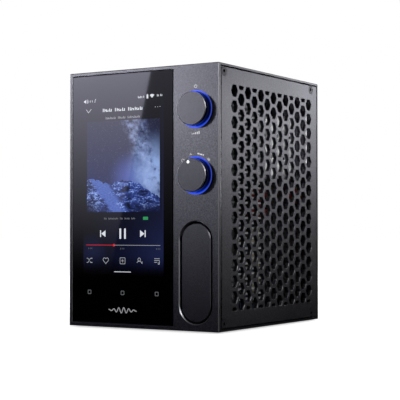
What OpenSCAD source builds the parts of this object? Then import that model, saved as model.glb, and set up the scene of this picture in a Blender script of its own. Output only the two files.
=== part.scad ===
// Desktop digital audio player: aluminium case with vented side panels, glass front, two knobs,
// headphone sockets behind a magnetic cover, connector panel at the rear, boards inside.
// Front faces -Y, width along X, height along Z. The origin is under the middle of the whole player.

/* [Overall size] */
// Width of the case across its front
body_w = 110; // [106:1:132]
// Depth of the case from its front face to its rear face
body_d = 132; // [124:1:160]
// Height of the case without its feet
body_h = 159.2; // [150:0.1:192]
// How far the rubber feet stand out below the case
foot_out = 0.8; // [0.6:0.1:1.6]

/* [Walls and seams] */
// Thickness of the front wall
front_t = 4; // [4:0.1:4.8]
// Thickness of the top and bottom walls
wall = 3; // [2.5:0.1:3.6]
// Thickness of each vented side panel
side_t = 2.5; // [2:0.1:3]
// Thickness of the rear panel
rear_t = 1.5; // [1.2:0.1:2]
// Edge of the case left showing above and below a side panel
side_lip = 1.3; // [1:0.1:1.8]
// Edge of the case left showing in front of a side panel
front_lip = 2.4; // [1.2:0.1:2.6]
// Open seam round each side panel
panel_seam = 0.35; // [0.2:0.05:0.5]
// Chamfer on the outer edges of the case
edge_chamfer = 0.5; // [0.3:0.1:0.8]

/* [Vents] */
// Distance between neighbouring hexagonal holes
hex_pitch = 9.54; // [9:0.01:12]
// Width of a hexagonal hole across its flats
hex_flats = 7.1; // [6:0.1:7.5]
// Plain margin of a side panel above and below its holes
vent_margin = 11.8; // [11:0.1:16]
// Plain margin in front of the first column of holes
vent_front = 14.5; // [13:0.1:18]
// Plain margin behind the last column of holes
vent_rear = 10; // [9:0.1:16]

/* [Front glass] */
// Width of the glass
glass_w = 75.2; // [72:0.1:75.6]
// Thickness of the glass
glass_t = 1.8; // [1.5:0.1:2]
// Edge of the case left showing round the glass
glass_border = 2.5; // [2:0.1:3.5]
// Width of the display module
display_w = 66; // [60:1:67]
// Height of the display module
display_h = 116; // [100:1:120]

/* [Knobs] */
// Radius of both knobs
knob_r = 10; // [9:0.1:10]
// How far the knobs stand out from the front
knob_out = 5.2; // [4.8:0.1:9]
// Distance of the knobs and sockets from the right edge of the front
knob_inset = 16; // [15.6:0.1:16.2]
// Distance of the volume knob from the top of the case
volume_drop = 27.1; // [26:0.1:32]
// Distance of the selector knob from the top of the case
selector_drop = 66.6; // [64:0.1:72]
// Radius of the knob shafts
shaft_r = 3; // [2.5:0.05:3.1]
// Travel of the volume knob when it is pressed
press_travel = 0.6; // [0.3:0.1:0.7]

/* [Headphone sockets] */
// Width of the recess for the socket cover
recess_w = 22.7; // [22.4:0.1:23.2]
// Height of the recess for the socket cover
recess_h = 61; // [60:0.5:64]
// Thickness of the socket cover
cover_t = 3.4; // [2.8:0.1:3.4]
// Open seam between the socket cover and its recess
cover_seam = 1.2; // [0.8:0.1:1.5]
// Radius of the bore for a 6.35 mm plug
jack_635_r = 3.25; // [3.23:0.01:3.4]
// Radius of the bore for a 4.4 mm plug
jack_44_r = 2.25; // [2.23:0.01:2.4]
// Radius of the round insert of the four-pin socket
xlr4_insert_r = 7.8; // [7.6:0.1:7.9]

/* [Rear connectors] */
// How far the phono barrels stand out from the rear panel
phono_out = 9; // [8:0.5:10]
// Radius of the phono barrels
phono_r = 4.15; // [4.1:0.01:4.2]
// Radius of the cup of a three-pin output socket
xlr3_cup_r = 8.1; // [8:0.1:8.3]
// Radius of the centre pin of the direct-current socket
dc_pin_r = 1.25; // [1:0.05:1.25]
// Travel of each slide switch
slider_travel = 4; // [3:0.5:4.5]
// Angle that the mains rocker turns through
rocker_angle = 14; // [10:1:16]

/* [Boards inside] */
// Thickness of the circuit boards
board_t = 1.6; // [1.2:0.1:2]
// Spacing of the heat sink fins
fin_pitch = 3.2; // [2.8:0.1:4]
// Radius of the upright smoothing capacitors
can_r = 6.2; // [5:0.1:6.4]

/* [Hidden] */
$fn = 64;

// Placing the case: knobs stand out in front of it and phono barrels behind it
half_w = body_w / 2;
face_y = knob_out - (knob_out + body_d + phono_out) / 2;
back_y = face_y + body_d;
base_z = foot_out;
top_z = foot_out + body_h;
inner_x = half_w - side_t;
floor_z = base_z + wall;
ceiling_z = top_z - wall;

// Small fits
fit_gap = 0.05;
thread_gap = 0.02;
running_gap = 0.05;
skin = 0.1;

// Screws
m3_r = 1.5;
m3_head_r = 3;
m3_length = 8;
m25_r = 1.25;
m25_head_r = 2.3;
m25_head_t = 1.6;
m25_length = 5;
screw_edge = 4.7;
front_screw_y = face_y + 6.3;
rear_screw_y = back_y - 11;
rear_screw_x = half_w - 13.5;
block_front_w = 5.9;
block_front_d = 6.5;
block_front_h = 4.2;
block_rear_w = 17;
block_rear_d = 15;
block_rear_h = 6.5;

// Side panel
panel_y0 = face_y + front_lip + panel_seam;
panel_y1 = back_y - rear_t - panel_seam;
panel_z0 = base_z + side_lip + panel_seam;
panel_z1 = top_z - side_lip - panel_seam;
panel_chamfer = 0.6;
hex_r = hex_flats / sqrt(3);
column_pitch = hex_pitch * sqrt(3) / 2;
vent_y0 = face_y + vent_front;
vent_y1 = back_y - vent_rear;
vent_z0 = base_z + vent_margin;
vent_z1 = top_z - vent_margin;
columns = floor((vent_y1 - vent_y0 - 2 * hex_r) / column_pitch) + 1;
rows = ceil((vent_z1 - vent_z0) / hex_pitch) + 1;

// Glass and display
glass_x = -half_w + 2.6 + glass_w / 2;
glass_h = body_h - 2 * glass_border;
glass_z = base_z + body_h / 2;
glass_seat = glass_t + skin;
glass_ledge = 3.4;
window_w = glass_w - 2 * glass_ledge;
window_h = glass_h - 2 * glass_ledge;
display_z0 = base_z + 30;
display_t = 1.6;
backplate_t = 1.4;
backplate_y = face_y + glass_seat + display_t;

// Knobs
knob_x = half_w - knob_inset;
volume_z = top_z - volume_drop;
selector_z = top_z - selector_drop;
ring_r = knob_r + 1.45;
ring_hole_r = knob_r + 0.35;
ring_out = 0.2;
well_depth = 2.8;
leg_r = 0.45;
leg_circle_r = (ring_r + ring_hole_r) / 2;
bush_r = 3.5;
bush_out = 1.7;
nut_t = 1.5;
nut_flats = 10;
encoder_size = 13;
encoder_depth = 6.5;
switch_r = 8;
knob_skirt = 1.2;
knob_wall = 1.2;
knob_chamfer = 0.35;
knob_face_t = 1.8;
hub_recess = 0.2;
shaft_flat = 0.5;
shaft_flat_end = 1;
hub_r = 4.4;
shaft_tip = knob_out - knob_face_t - 0.4;
shaft_end = 8.6;
shaft_bore_end = 10;
plunger_y = face_y + shaft_end + fit_gap;
plunger_r = 2.4;
plunger_t = 0.4;
plunger_pin_r = 1;
plunger_pin_l = 0.2;
pointer_angle = 105;
pointer_r = 0.9;
pointer_circle_r = 8.1;
pointer_t = 0.5;
control_y = face_y + front_t + encoder_depth;
control_x0 = half_w - 29;
control_x1 = half_w - 3;
control_z0 = base_z + 74;
control_z1 = top_z - 10.8;
post_r = 2.6;

// Headphone sockets
recess_z = base_z + 4.3 + recess_h / 2;
plate_y = face_y + front_t;
plate_t = 2;
plate_w = 26.4;
plate_h = recess_h + 2.4;
cover_w = recess_w - 2 * cover_seam;
cover_h = recess_h - 2 * cover_seam;
cover_lift = 0.15;
jack_635_z = recess_z + 18.4;
jack_44_z = recess_z + 2.4;
xlr4_z = recess_z - 17.6;
jack_635_depth = 30;
jack_44_depth = 20;
jack_635_neck_r = 5.5;
jack_44_neck_r = 4.5;
jack_635_body = [13.5, 14.5];
jack_44_body = [12, 12.5];
xlr4_neck_r = 10;
xlr4_groove_r = 9.3;
xlr4_depth = 14;
xlr4_length = 20;
xlr4_collar = 0.8;
xlr4_hole_circle_r = 4.4;
xlr4_hole_r = 1.3;
magnet_r = 2.2;
magnet_t = 1.15;
magnet_x = 7;
magnet_upper_z = recess_z + 10.4;
magnet_lower_z = recess_z - 4.6;

// Rear connectors, grouped from the left edge (digital and power) and the right edge (analogue)
left_x = -half_w;
right_x = half_w;
panel_in_y = back_y - rear_t;
coax_z = base_z + 129;
phono_z = base_z + 84;
coax_x = [left_x + 15, left_x + 33];
analogue_x = [right_x - 33, right_x - 15];
phono_places = [for (x = coax_x) [x, coax_z], for (x = analogue_x) [x, phono_z]];
phono_flange_r = 6;
phono_flange_t = 1.2;
phono_neck_r = 5;
phono_inner_l = 5;
phono_lug_l = 4;
phono_contact_r = 1.65;
xlr3_x = right_x - 25;
xlr3_zs = [base_z + 24.3, base_z + 58];
xlr3_flange_w = 26;
xlr3_flange_h = 31;
xlr3_flange_t = 2;
xlr3_body_r = 11.8;
xlr3_body_l = 22;
xlr3_cup_l = 13;
xlr3_pin_r = 1.2;
xlr3_pin_l = 10.5;
xlr3_pin_places = [[-3.8, 2.2], [3.8, 2.2], [0, -4.2]];
xlr3_screw_x = 9.5;
xlr3_screw_z = 12;
io_gap = 14.5;
io_y = panel_in_y - io_gap - board_t;
io_x0 = left_x + 5;
io_x1 = left_x + 53;
io_z0 = base_z + 60;
io_z1 = base_z + 142;
socket_out = 0.5;
optical_x = [left_x + 15, left_x + 31];
optical_z = base_z + 108;
optical_size = [10, 10];
optical_mouth = [8.2, 8.2];
usb_b_x = left_x + 17;
usb_b_z = base_z + 88;
usb_b_size = [12, 11];
usb_b_mouth = [8.5, 7.8];
usb_a_x = left_x + 39;
usb_a_zs = [base_z + 67, base_z + 78];
usb_a_size = [14.5, 7];
usb_a_mouth = [13, 5.4];
lan_x = left_x + 17;
lan_z = base_z + 70;
lan_size = [16, 13.5];
lan_mouth = [11.9, 7.4];
dc_x = left_x + 15;
dc_z = base_z + 48;
dc_neck_r = 5;
dc_bore_r = 3.2;
dc_depth = 9.5;
mains_x = left_x + 22.5;
mains_z = base_z + 24;
mains_w = 24.4;
mains_h = 17;
mains_depth = 15;
mains_body = [mains_w + 3, mains_h + 3];
mains_pin_places = [[-7, -2], [7, -2], [0, 4]];
mains_pin_w = 2;
mains_pin_h = 4;
rocker_x = left_x + 50;
rocker_z = base_z + 24;
rocker_w = 11;
rocker_h = 16;
rocker_t = 4.4;
rocker_body = [rocker_w + 4, rocker_h + 3];
rocker_pivot_y = back_y - 1;
rocker_pin_r = 1;
rocker_pin_l = 1.5;
rocker_cup_depth = 7;
slide_z = base_z + 48;
ground_lift_x = left_x + 56;
power_select_x = left_x + 34;
slider_w = 4;
slider_h = 3.4;
slider_out = 1.8;
slot_w = slider_w + slider_travel + 0.6;
slot_h = slider_h + 0.6;
carriage_w = 5;
carriage_h = 5.4;

// Boards
chassis_x = left_x + 63;
chassis_t = 1.5;
chassis_y0 = face_y + 18;
chassis_y1 = back_y - 9;
chassis_flange = 12;
amp_x = chassis_x + chassis_t + 8.5;
amp_y0 = face_y + 41;
amp_y1 = back_y - 26;
amp_tail_y = back_y - 7;
amp_z0 = base_z + 8;
amp_z1 = top_z - 10;
amp_tail_z = base_z + 94;
main_x = chassis_x - 12;
main_y0 = face_y + 22;
main_y1 = io_y - 2.5;
main_z0 = base_z + 63;
main_z1 = top_z - 10;
power_z = floor_z + 3.7;
power_x0 = left_x + 5;
power_x1 = left_x + 57;
power_y0 = face_y + 16;
power_y1 = back_y - 32;
standoff_r = 2.5;
amp_posts = [[amp_y0 + 5, amp_z0 + 4], [amp_y1 - 5, amp_z0 + 4], [amp_y0 + 4, amp_z1 - 5],
    [amp_tail_y - 5, amp_z1 - 4], [amp_y1 - 5, amp_tail_z - 3.4]];
main_posts = [[main_y0 + 5, main_z0 + 5], [main_y1 - 5, main_z0 + 5],
    [main_y0 + 5, main_z1 - 5], [main_y1 - 5, main_z1 - 5]];
power_posts = [[power_x0 + 4, power_y0 + 4], [power_x1 - 4, power_y0 + 4],
    [power_x0 + 4, power_y1 - 4], [power_x1 - 4, power_y1 - 4]];
control_posts = [for (x = [control_x0 + 3, control_x1 - 3], z = [control_z0 + 3, control_z1 - 3]) [x, z]];
plate_posts = [for (p = [[-1, -1], [-1, 1], [1, 1]]) [knob_x + p[0] * 11, recess_z + p[1] * 29]];
chassis_screw_ys = [face_y + 30, face_y + body_d / 2, back_y - 22];
chassis_screw_x = chassis_x + chassis_t + 6;
sink_y0 = amp_y0 + 3;
sink_y1 = sink_y0 + 32;
sink_z0 = base_z + 16;
sink_z1 = top_z - 20;
sink_base_t = 4;
sink_depth = 20;
fin_t = 1.2;
can_l = 24;
can_ys = [back_y - 48, back_y - 34, back_y - 20];
can_zs = [base_z + 101, base_z + 115, base_z + 129];
film_ys = [back_y - 47, back_y - 32];
film_zs = [base_z + 69, base_z + 75.5, base_z + 82];
film_size = [11, 13, 5];
relay_y = back_y - 44;
relay_zs = [base_z + 20, base_z + 36, base_z + 52];
relay_size = [10, 15, 10];
bulk_r = 9;
bulk_l = 35;
bulk_xs = [power_x0 + 13, power_x1 - 17];
foot_r = 7.5;
foot_seat = 1.2;
foot_xs = [-half_w + 14, half_w - 14];
foot_ys = [face_y + 16, back_y - 16];

// ---------- Placing helpers ----------

// Box between two corners
module block(low, high) {
    translate(low) cube(high - low);
}

// Outline in X and Z, extruded from y towards the rear
module from_front(y, depth) {
    translate([0, y + depth, 0]) rotate([90, 0, 0]) linear_extrude(depth) children();
}

// Outline in Y and Z, extruded from x towards the right
module from_left(x, depth) {
    translate([x, 0, 0]) rotate([90, 0, 90]) linear_extrude(depth) children();
}

// Round bar along Y, from y towards the rear
module bar_y(x, y, z, r, depth) {
    translate([x, y, z]) rotate([-90, 0, 0]) cylinder(r = r, h = depth);
}

// Round bar along X, from x towards the right
module bar_x(x, y, z, r, depth) {
    translate([x, y, z]) rotate([0, 90, 0]) cylinder(r = r, h = depth);
}

// ---------- Outlines ----------

// Rectangle centred on a point
module centred(x, z, w, h) {
    translate([x - w / 2, z - h / 2]) square([w, h]);
}

// Rectangle between two limits with cut corners
module cut_corners(low, high, c) {
    polygon([[low[0] + c, low[1]], [high[0] - c, low[1]], [high[0], low[1] + c], [high[0], high[1] - c],
        [high[0] - c, high[1]], [low[0] + c, high[1]], [low[0], high[1] - c], [low[0], low[1] + c]]);
}

// Upright slot with round ends
module stadium(x, z, w, h) {
    centred(x, z, w, h - w);
    for (side = [-1, 1]) translate([x, z + side * (h - w) / 2]) circle(d = w);
}

// Rectangle with round corners
module rounded(x, z, w, h, r) {
    centred(x, z, w - 2 * r, h);
    centred(x, z, w, h - 2 * r);
    for (i = [-1, 1], j = [-1, 1]) translate([x + i * (w / 2 - r), z + j * (h / 2 - r)]) circle(r);
}

// ---------- Shared solids ----------

// Block with chamfered edges all round
module chamfered_block(low, high, c) {
    intersection() {
        translate([0, 0, low[2]]) linear_extrude(high[2] - low[2])
            cut_corners([low[0], low[1]], [high[0], high[1]], c);
        from_front(low[1], high[1] - low[1]) cut_corners([low[0], low[2]], [high[0], high[2]], c);
        from_left(low[0], high[0] - low[0]) cut_corners([low[1], low[2]], [high[1], high[2]], c);
    }
}

// Upright slot-shaped pad whose front edge is chamfered; c below 0 gives a flared cutter
module chamfered_stadium(x, z, w, h, y, depth, c) {
    r = w / 2;
    reach = (h - w) / 2;
    translate([x, y, z - reach]) linear_extrude(2 * reach)
        polygon([[-r + c, 0], [r - c, 0], [r, abs(c)], [r, depth], [-r, depth], [-r, abs(c)]]);
    for (side = [-1, 1]) translate([x, y, z + side * reach]) rotate([-90, 0, 0]) {
        cylinder(r1 = r - c, r2 = r, h = abs(c));
        translate([0, 0, abs(c)]) cylinder(r = r, h = depth - abs(c));
    }
}

// Countersunk M3 screw, head flush with z = 0, shank down to z = -m3_length
module m3_screw() {
    difference() {
        union() {
            translate([0, 0, -1.6]) cylinder(r1 = m3_r, r2 = m3_head_r, h = 1.6);
            translate([0, 0, -m3_length]) cylinder(r = m3_r, h = m3_length - 1.6);
        }
        translate([0, 0, -1.1]) cylinder(r = 1.1, h = 2, $fn = 6);
    }
}

// Space for that screw, with a thread clearance
module m3_hole(length = m3_length) {
    translate([0, 0, -1.6]) cylinder(r1 = m3_r + thread_gap, r2 = m3_head_r + thread_gap, h = 1.6);
    cylinder(r = m3_head_r + thread_gap, h = 1);
    translate([0, 0, -length - 0.2]) cylinder(r = m3_r + thread_gap, h = length);
}

// Pan-head M2.5 screw, head seated on z = 0, shank down to z = -m25_length
module m25_screw() {
    difference() {
        union() {
            cylinder(r = m25_head_r, h = m25_head_t);
            translate([0, 0, -m25_length]) cylinder(r = m25_r, h = m25_length);
        }
        translate([0, 0, 0.6]) cylinder(r = 0.9, h = m25_head_t, $fn = 6);
    }
}

// Space for that screw's shank
module m25_hole() {
    translate([0, 0, -m25_length - 0.2]) cylinder(r = m25_r + thread_gap, h = m25_length + 0.4);
}

// Children placed at the screws of the side panels, z towards the outside
module at_side_screws(side) {
    for (y = [front_screw_y, rear_screw_y], z = [base_z + screw_edge, top_z - screw_edge])
        translate([side * half_w, y, z]) rotate([0, side * 90, 0]) children();
}

// Children placed at the corner screws of the rear panel
module at_rear_screws() {
    for (x = [-rear_screw_x, rear_screw_x], z = [base_z + screw_edge, top_z - screw_edge])
        translate([x, back_y, z]) rotate([-90, 0, 0]) children();
}

// Children placed at the screws of the three-pin sockets
module at_xlr3_screws() {
    for (z = xlr3_zs, side = [-1, 1])
        translate([xlr3_x + side * xlr3_screw_x, back_y + xlr3_flange_t, z + side * xlr3_screw_z])
            rotate([-90, 0, 0]) children();
}

// Children placed at the screws that hold the chassis plate to the floor
module at_chassis_screws() {
    for (y = chassis_screw_ys) translate([chassis_screw_x, y, base_z]) rotate([180, 0, 0]) children();
}

// Children placed on the boards' screws, z pointing away from the board
module at_amplifier_screws() {
    for (p = amp_posts) translate([amp_x + board_t, p[0], p[1]]) rotate([0, 90, 0]) children();
}
module at_main_screws() {
    for (p = main_posts) translate([main_x, p[0], p[1]]) rotate([0, -90, 0]) children();
}
module at_power_screws() {
    for (p = power_posts) translate([p[0], p[1], power_z + board_t]) children();
}
module at_control_screws() {
    for (p = control_posts) translate([p[0], control_y + board_t, p[1]]) rotate([-90, 0, 0]) children();
}
module at_plate_screws() {
    for (p = plate_posts) translate([p[0], plate_y + plate_t, p[1]]) rotate([-90, 0, 0]) children();
}

// ---------- Enclosure ----------

module case_cavity() {
    block([-inner_x, face_y + front_t, floor_z], [inner_x, back_y, ceiling_z]);
}

module side_rebates() {
    for (side = [-1, 1]) mirror([side < 0 ? 1 : 0, 0, 0])
        block([inner_x, face_y + front_lip, base_z + side_lip], [half_w + 1, back_y, top_z - side_lip]);
}

// Blocks in the corners that take the screws; gap widens them to make room for one
module front_block(gap = 0) {
    block([inner_x - block_front_w - gap, face_y + front_t - skin, floor_z - skin],
        [inner_x, face_y + front_t + block_front_d, floor_z + block_front_h + gap]);
}
module rear_block() {
    block([inner_x - block_rear_w, panel_in_y - block_rear_d, floor_z - skin],
        [inner_x, panel_in_y, floor_z + block_rear_h]);
}
module corner_blocks() {
    for (side = [0, 1], up = [0, 1])
        mirror([side, 0, 0]) translate([0, 0, up * (base_z + top_z)]) mirror([0, 0, up]) {
            front_block();
            rear_block();
        }
}

// Opening for the glass: seat, chamfered rim and the window behind it
module glass_opening() {
    from_front(face_y - 1, 1 + glass_seat)
        centred(glass_x, glass_z, glass_w + 2 * skin, glass_h + 2 * skin);
    rim = edge_chamfer;
    hull() {
        from_front(face_y - skin, skin)
            centred(glass_x, glass_z, glass_w + 2 * skin + 2 * rim, glass_h + 2 * skin + 2 * rim);
        from_front(face_y + rim, skin) centred(glass_x, glass_z, glass_w + skin, glass_h + skin);
    }
    from_front(face_y, front_t + 1) centred(glass_x, glass_z, window_w, window_h);
}

// Well for a knob's light ring, with holes for the bush and the ring's legs
module knob_well(z) {
    bar_y(knob_x, face_y - 1, z, ring_r + fit_gap, 1 + well_depth);
    bar_y(knob_x, face_y, z, bush_r + fit_gap, front_t + 1);
    at_ring_legs(z) cylinder(r = leg_r + fit_gap, h = front_t + 1);
}

// Four legs of a light ring, starting at the front face
module at_ring_legs(z) {
    for (a = [45:90:315])
        translate([knob_x + leg_circle_r * cos(a), face_y, z + leg_circle_r * sin(a)])
            rotate([-90, 0, 0]) children();
}

module main_frame() {
    color("#4a4a50") difference() {
        union() {
            difference() {
                chamfered_block([-half_w, face_y, base_z],
                    [half_w, panel_in_y + edge_chamfer, top_z], edge_chamfer);
                block([-half_w - 1, panel_in_y, base_z - 1], [half_w + 1, back_y + 1, top_z + 1]);
                case_cavity();
                side_rebates();
            }
            corner_blocks();
            for (p = control_posts)
                bar_y(p[0], face_y + front_t - skin, p[1], post_r, encoder_depth + skin);
        }
        glass_opening();
        knob_well(volume_z);
        knob_well(selector_z);
        from_front(face_y - 1, front_t + 2) stadium(knob_x, recess_z, recess_w, recess_h);
        chamfered_stadium(knob_x, recess_z, recess_w, recess_h, face_y, edge_chamfer + skin, -edge_chamfer);
        for (side = [-1, 1]) at_side_screws(side) m3_hole();
        at_rear_screws() m3_hole();
        at_chassis_screws() m3_hole();
        at_control_screws() m25_hole();
        at_plate_screws() m25_hole();
        for (x = foot_xs, y = foot_ys)
            translate([x, y, base_z - 1]) cylinder(r = foot_r + fit_gap, h = 1 + foot_seat);
    }
}

// Grid of hexagonal holes; every second column is half a step lower
module vent_outline() {
    intersection() {
        for (c = [0:columns - 1], r = [0:rows])
            translate([vent_y0 + hex_r + c * column_pitch,
                vent_z1 - hex_flats / 2 + (c % 2) * hex_pitch / 2 - r * hex_pitch])
                circle(r = hex_r, $fn = 6);
        translate([vent_y0, vent_z0]) square([vent_y1 - vent_y0 + hex_r, vent_z1 - vent_z0]);
    }
}

// Vented panel for the right side, screw holes not yet cut
module vented_panel() {
    difference() {
        intersection() {
            chamfered_block([inner_x - panel_chamfer, panel_y0, panel_z0],
                [half_w, panel_y1, panel_z1], panel_chamfer);
            block([inner_x, panel_y0, panel_z0], [half_w, panel_y1, panel_z1]);
        }
        from_left(inner_x - 1, side_t + 2) vent_outline();
    }
}

module right_side_panel() {
    color("#55555c") difference() {
        vented_panel();
        at_side_screws(1) m3_hole();
    }
}

module left_side_panel() {
    color("#55555c") difference() {
        mirror([1, 0, 0]) vented_panel();
        at_side_screws(-1) m3_hole();
    }
}

module side_panel_screws() {
    color("#3a3a3e") for (side = [-1, 1]) at_side_screws(side) m3_screw();
}

// Row of upright air slots beside the upper boards
module rear_slots() {
    for (x = [half_w - 44:5:half_w - 8]) stadium(x, base_z + 122, 2.2, 34);
}

// Opening for a connector of this width and height
module panel_cutout(x, z, size) {
    centred(x, z, size[0] + skin, size[1] + skin);
}

module rear_panel() {
    color("#3f3f45") difference() {
        intersection() {
            chamfered_block([-half_w, panel_in_y - edge_chamfer, base_z],
                [half_w, back_y, top_z], edge_chamfer);
            block([-half_w, panel_in_y, base_z], [half_w, back_y, top_z]);
        }
        from_front(panel_in_y - 1, rear_t + 2) {
            rear_slots();
            for (x = optical_x) panel_cutout(x, optical_z, optical_size);
            panel_cutout(usb_b_x, usb_b_z, usb_b_size);
            for (z = usb_a_zs) panel_cutout(usb_a_x, z, usb_a_size);
            panel_cutout(lan_x, lan_z, lan_size);
            panel_cutout(mains_x, mains_z, mains_body);
            panel_cutout(rocker_x, rocker_z, rocker_body);
            for (x = [ground_lift_x, power_select_x]) centred(x, slide_z, slot_w, slot_h);
        }
        for (p = phono_places) bar_y(p[0], panel_in_y - 1, p[1], phono_neck_r + fit_gap, rear_t + 2);
        for (z = xlr3_zs) bar_y(xlr3_x, panel_in_y - 1, z, xlr3_body_r + fit_gap, rear_t + 2);
        bar_y(dc_x, panel_in_y - 1, dc_z, dc_neck_r + fit_gap, rear_t + 2);
        at_rear_screws() m3_hole();
        at_xlr3_screws() m3_hole();
    }
}

module case_screws() {
    color("#3a3a3e") {
        at_rear_screws() m3_screw();
        at_xlr3_screws() m3_screw();
        at_chassis_screws() m3_screw();
    }
}

module rubber_feet() {
    color("#1c1c1c") for (x = foot_xs, y = foot_ys) translate([x, y, 0]) {
        cylinder(r1 = foot_r - 0.5, r2 = foot_r, h = 0.5);
        translate([0, 0, 0.5]) cylinder(r = foot_r, h = foot_out + foot_seat - 0.5);
    }
}

// Upright steel plate with a folded flange at its foot and its head
module chassis_plate() {
    color("#8f9296") difference() {
        union() {
            block([chassis_x, chassis_y0, floor_z], [chassis_x + chassis_t, chassis_y1, ceiling_z]);
            for (z = [floor_z, ceiling_z - chassis_t])
                block([chassis_x, chassis_y0, z], [chassis_x + chassis_flange, chassis_y1, z + chassis_t]);
        }
        at_chassis_screws() m3_hole();
    }
}

module board_screws() {
    color("#b0b0b4") {
        at_amplifier_screws() m25_screw();
        at_main_screws() m25_screw();
        at_power_screws() m25_screw();
        at_control_screws() m25_screw();
        at_plate_screws() m25_screw();
    }
}

module board_standoffs() {
    color("#c9a94a") difference() {
        union() {
            for (p = amp_posts)
                bar_x(chassis_x + chassis_t, p[0], p[1], standoff_r, amp_x - chassis_x - chassis_t);
            for (p = main_posts)
                bar_x(main_x + board_t, p[0], p[1], standoff_r, chassis_x - main_x - board_t);
            for (p = power_posts)
                translate([p[0], p[1], floor_z]) cylinder(r = standoff_r, h = power_z - floor_z);
        }
        at_amplifier_screws() m25_hole();
        at_main_screws() m25_hole();
        at_power_screws() m25_hole();
    }
}

// ---------- Glass and display ----------

module cover_glass() {
    color("#0b0b0d") chamfered_block([glass_x - glass_w / 2, face_y + skin, glass_z - glass_h / 2],
        [glass_x + glass_w / 2, face_y + glass_seat, glass_z + glass_h / 2], 0.15);
}

module display_panel() {
    color("#16203a") block([glass_x - display_w / 2, face_y + glass_seat, display_z0],
        [glass_x + display_w / 2, face_y + glass_seat + display_t, display_z0 + display_h]);
}

module display_backplate() {
    color("#7c7e82") from_front(backplate_y, backplate_t)
        rounded(glass_x, display_z0 + display_h / 2, display_w, display_h, 1.5);
}

module touch_key_board() {
    color("#1e3d2a") from_front(face_y + glass_seat, 0.8)
        rounded(glass_x, base_z + 21.5, display_w - 2, 12, 1);
}

// Flat antenna bonded behind the glass, above the display
module wifi_antenna() {
    color("#202020") from_front(face_y + glass_seat, 0.6)
        rounded(glass_x, display_z0 + display_h + 3.6, 42, 4.4, 0.8);
}

// Flat ribbon from the display to the plug on the main board's front edge
module display_ribbon() {
    back = backplate_y + backplate_t;
    color("#c8823a") {
        block([main_x - 16, back, main_z0 + 33], [main_x - 0.3, back + 0.3, main_z0 + 45]);
        block([main_x - 0.4, back, main_z0 + 33], [main_x - 0.1, main_y0 + 5, main_z0 + 45]);
        block([main_x - 2.4, main_y0 + 4.5, main_z0 + 32], [main_x, main_y0 + 9, main_z0 + 46]);
    }
}

// ---------- Knobs ----------

// Turned knob with a chamfered face, hollow underside and a D-shaped socket for the shaft
module knob(z) {
    depth = knob_out + knob_skirt;
    c = knob_chamfer;
    translate([knob_x, face_y - knob_out, z]) rotate([-90, 0, 0]) difference() {
        rotate_extrude() polygon([[0, 0], [knob_r - c, 0], [knob_r, c], [knob_r, depth],
            [knob_r - knob_wall, depth], [knob_r - knob_wall, knob_face_t], [hub_r, knob_face_t],
            [hub_r, knob_out + hub_recess], [0, knob_out + hub_recess]]);
        intersection() {
            translate([0, 0, knob_out - shaft_tip]) cylinder(r = shaft_r + thread_gap, h = depth);
            translate([-knob_r, -knob_r, 0])
                cube([2 * knob_r, knob_r + shaft_r - shaft_flat + thread_gap, depth]);
        }
    }
}

// Shaft with a flat on its front end, ending length behind the front face
module shaft(z, length) {
    difference() {
        bar_y(knob_x, face_y - shaft_tip, z, shaft_r, shaft_tip + length);
        block([knob_x - knob_r, face_y - shaft_tip - 1, z - shaft_r - 1],
            [knob_x + knob_r, face_y + shaft_flat_end, z - shaft_r + shaft_flat]);
    }
}

// Bush that passes through the front wall
module bush(z) {
    bar_y(knob_x, face_y + well_depth - bush_out, z, bush_r, front_t - well_depth + bush_out + skin);
}

module volume_knob() {
    color("#4c4c51") knob(volume_z);
}

module volume_shaft() {
    color("#b9bbc0") shaft(volume_z, shaft_end);
}

// Pin behind the volume shaft that works the push switch
module volume_plunger() {
    color("#d8d8d8") {
        bar_y(knob_x, plunger_y, volume_z, plunger_r, plunger_t);
        bar_y(knob_x, plunger_y + plunger_t - skin, volume_z, plunger_pin_r, plunger_pin_l + skin);
    }
}

module volume_encoder() {
    color("#6b6e74") difference() {
        union() {
            bush(volume_z);
            from_front(face_y + front_t, encoder_depth)
                centred(knob_x, volume_z, encoder_size, encoder_size);
        }
        bar_y(knob_x, face_y, volume_z, shaft_r + running_gap, shaft_bore_end);
    }
}

module selector_knob() {
    color("#4c4c51") difference() {
        knob(selector_z);
        at_pointer() cylinder(r = pointer_r + thread_gap, h = 2 * pointer_t, center = true);
    }
}

// Children placed on the selector knob's face at its pointer
module at_pointer() {
    translate([knob_x + pointer_circle_r * cos(pointer_angle), face_y - knob_out,
        selector_z + pointer_circle_r * sin(pointer_angle)]) rotate([-90, 0, 0]) children();
}

module selector_pointer() {
    color("white") at_pointer() cylinder(r = pointer_r, h = pointer_t);
}

module selector_shaft() {
    color("#b9bbc0") shaft(selector_z, shaft_end);
}

module selector_switch() {
    color("#6b6e74") difference() {
        union() {
            bush(selector_z);
            bar_y(knob_x, face_y + front_t, selector_z, switch_r, encoder_depth);
        }
        bar_y(knob_x, face_y, selector_z, shaft_r + running_gap, shaft_bore_end);
    }
}

module shaft_nuts() {
    color("#a8aab0") for (z = [volume_z, selector_z]) difference() {
        translate([knob_x, face_y + well_depth - nut_t, z]) rotate([-90, 0, 0])
            cylinder(r = nut_flats / sqrt(3), h = nut_t, $fn = 6);
        bar_y(knob_x, face_y, z, bush_r + thread_gap, front_t);
    }
}

// Clear rings round the knobs; their legs carry light from the control board
module light_rings() {
    color("#2f5cff") for (z = [volume_z, selector_z]) {
        difference() {
            bar_y(knob_x, face_y - ring_out, z, ring_r, ring_out + well_depth);
            bar_y(knob_x, face_y - 1, z, ring_hole_r, front_t);
        }
        at_ring_legs(z) translate([0, 0, well_depth - skin])
            cylinder(r = leg_r, h = front_t + encoder_depth - well_depth + skin);
    }
}

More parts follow.
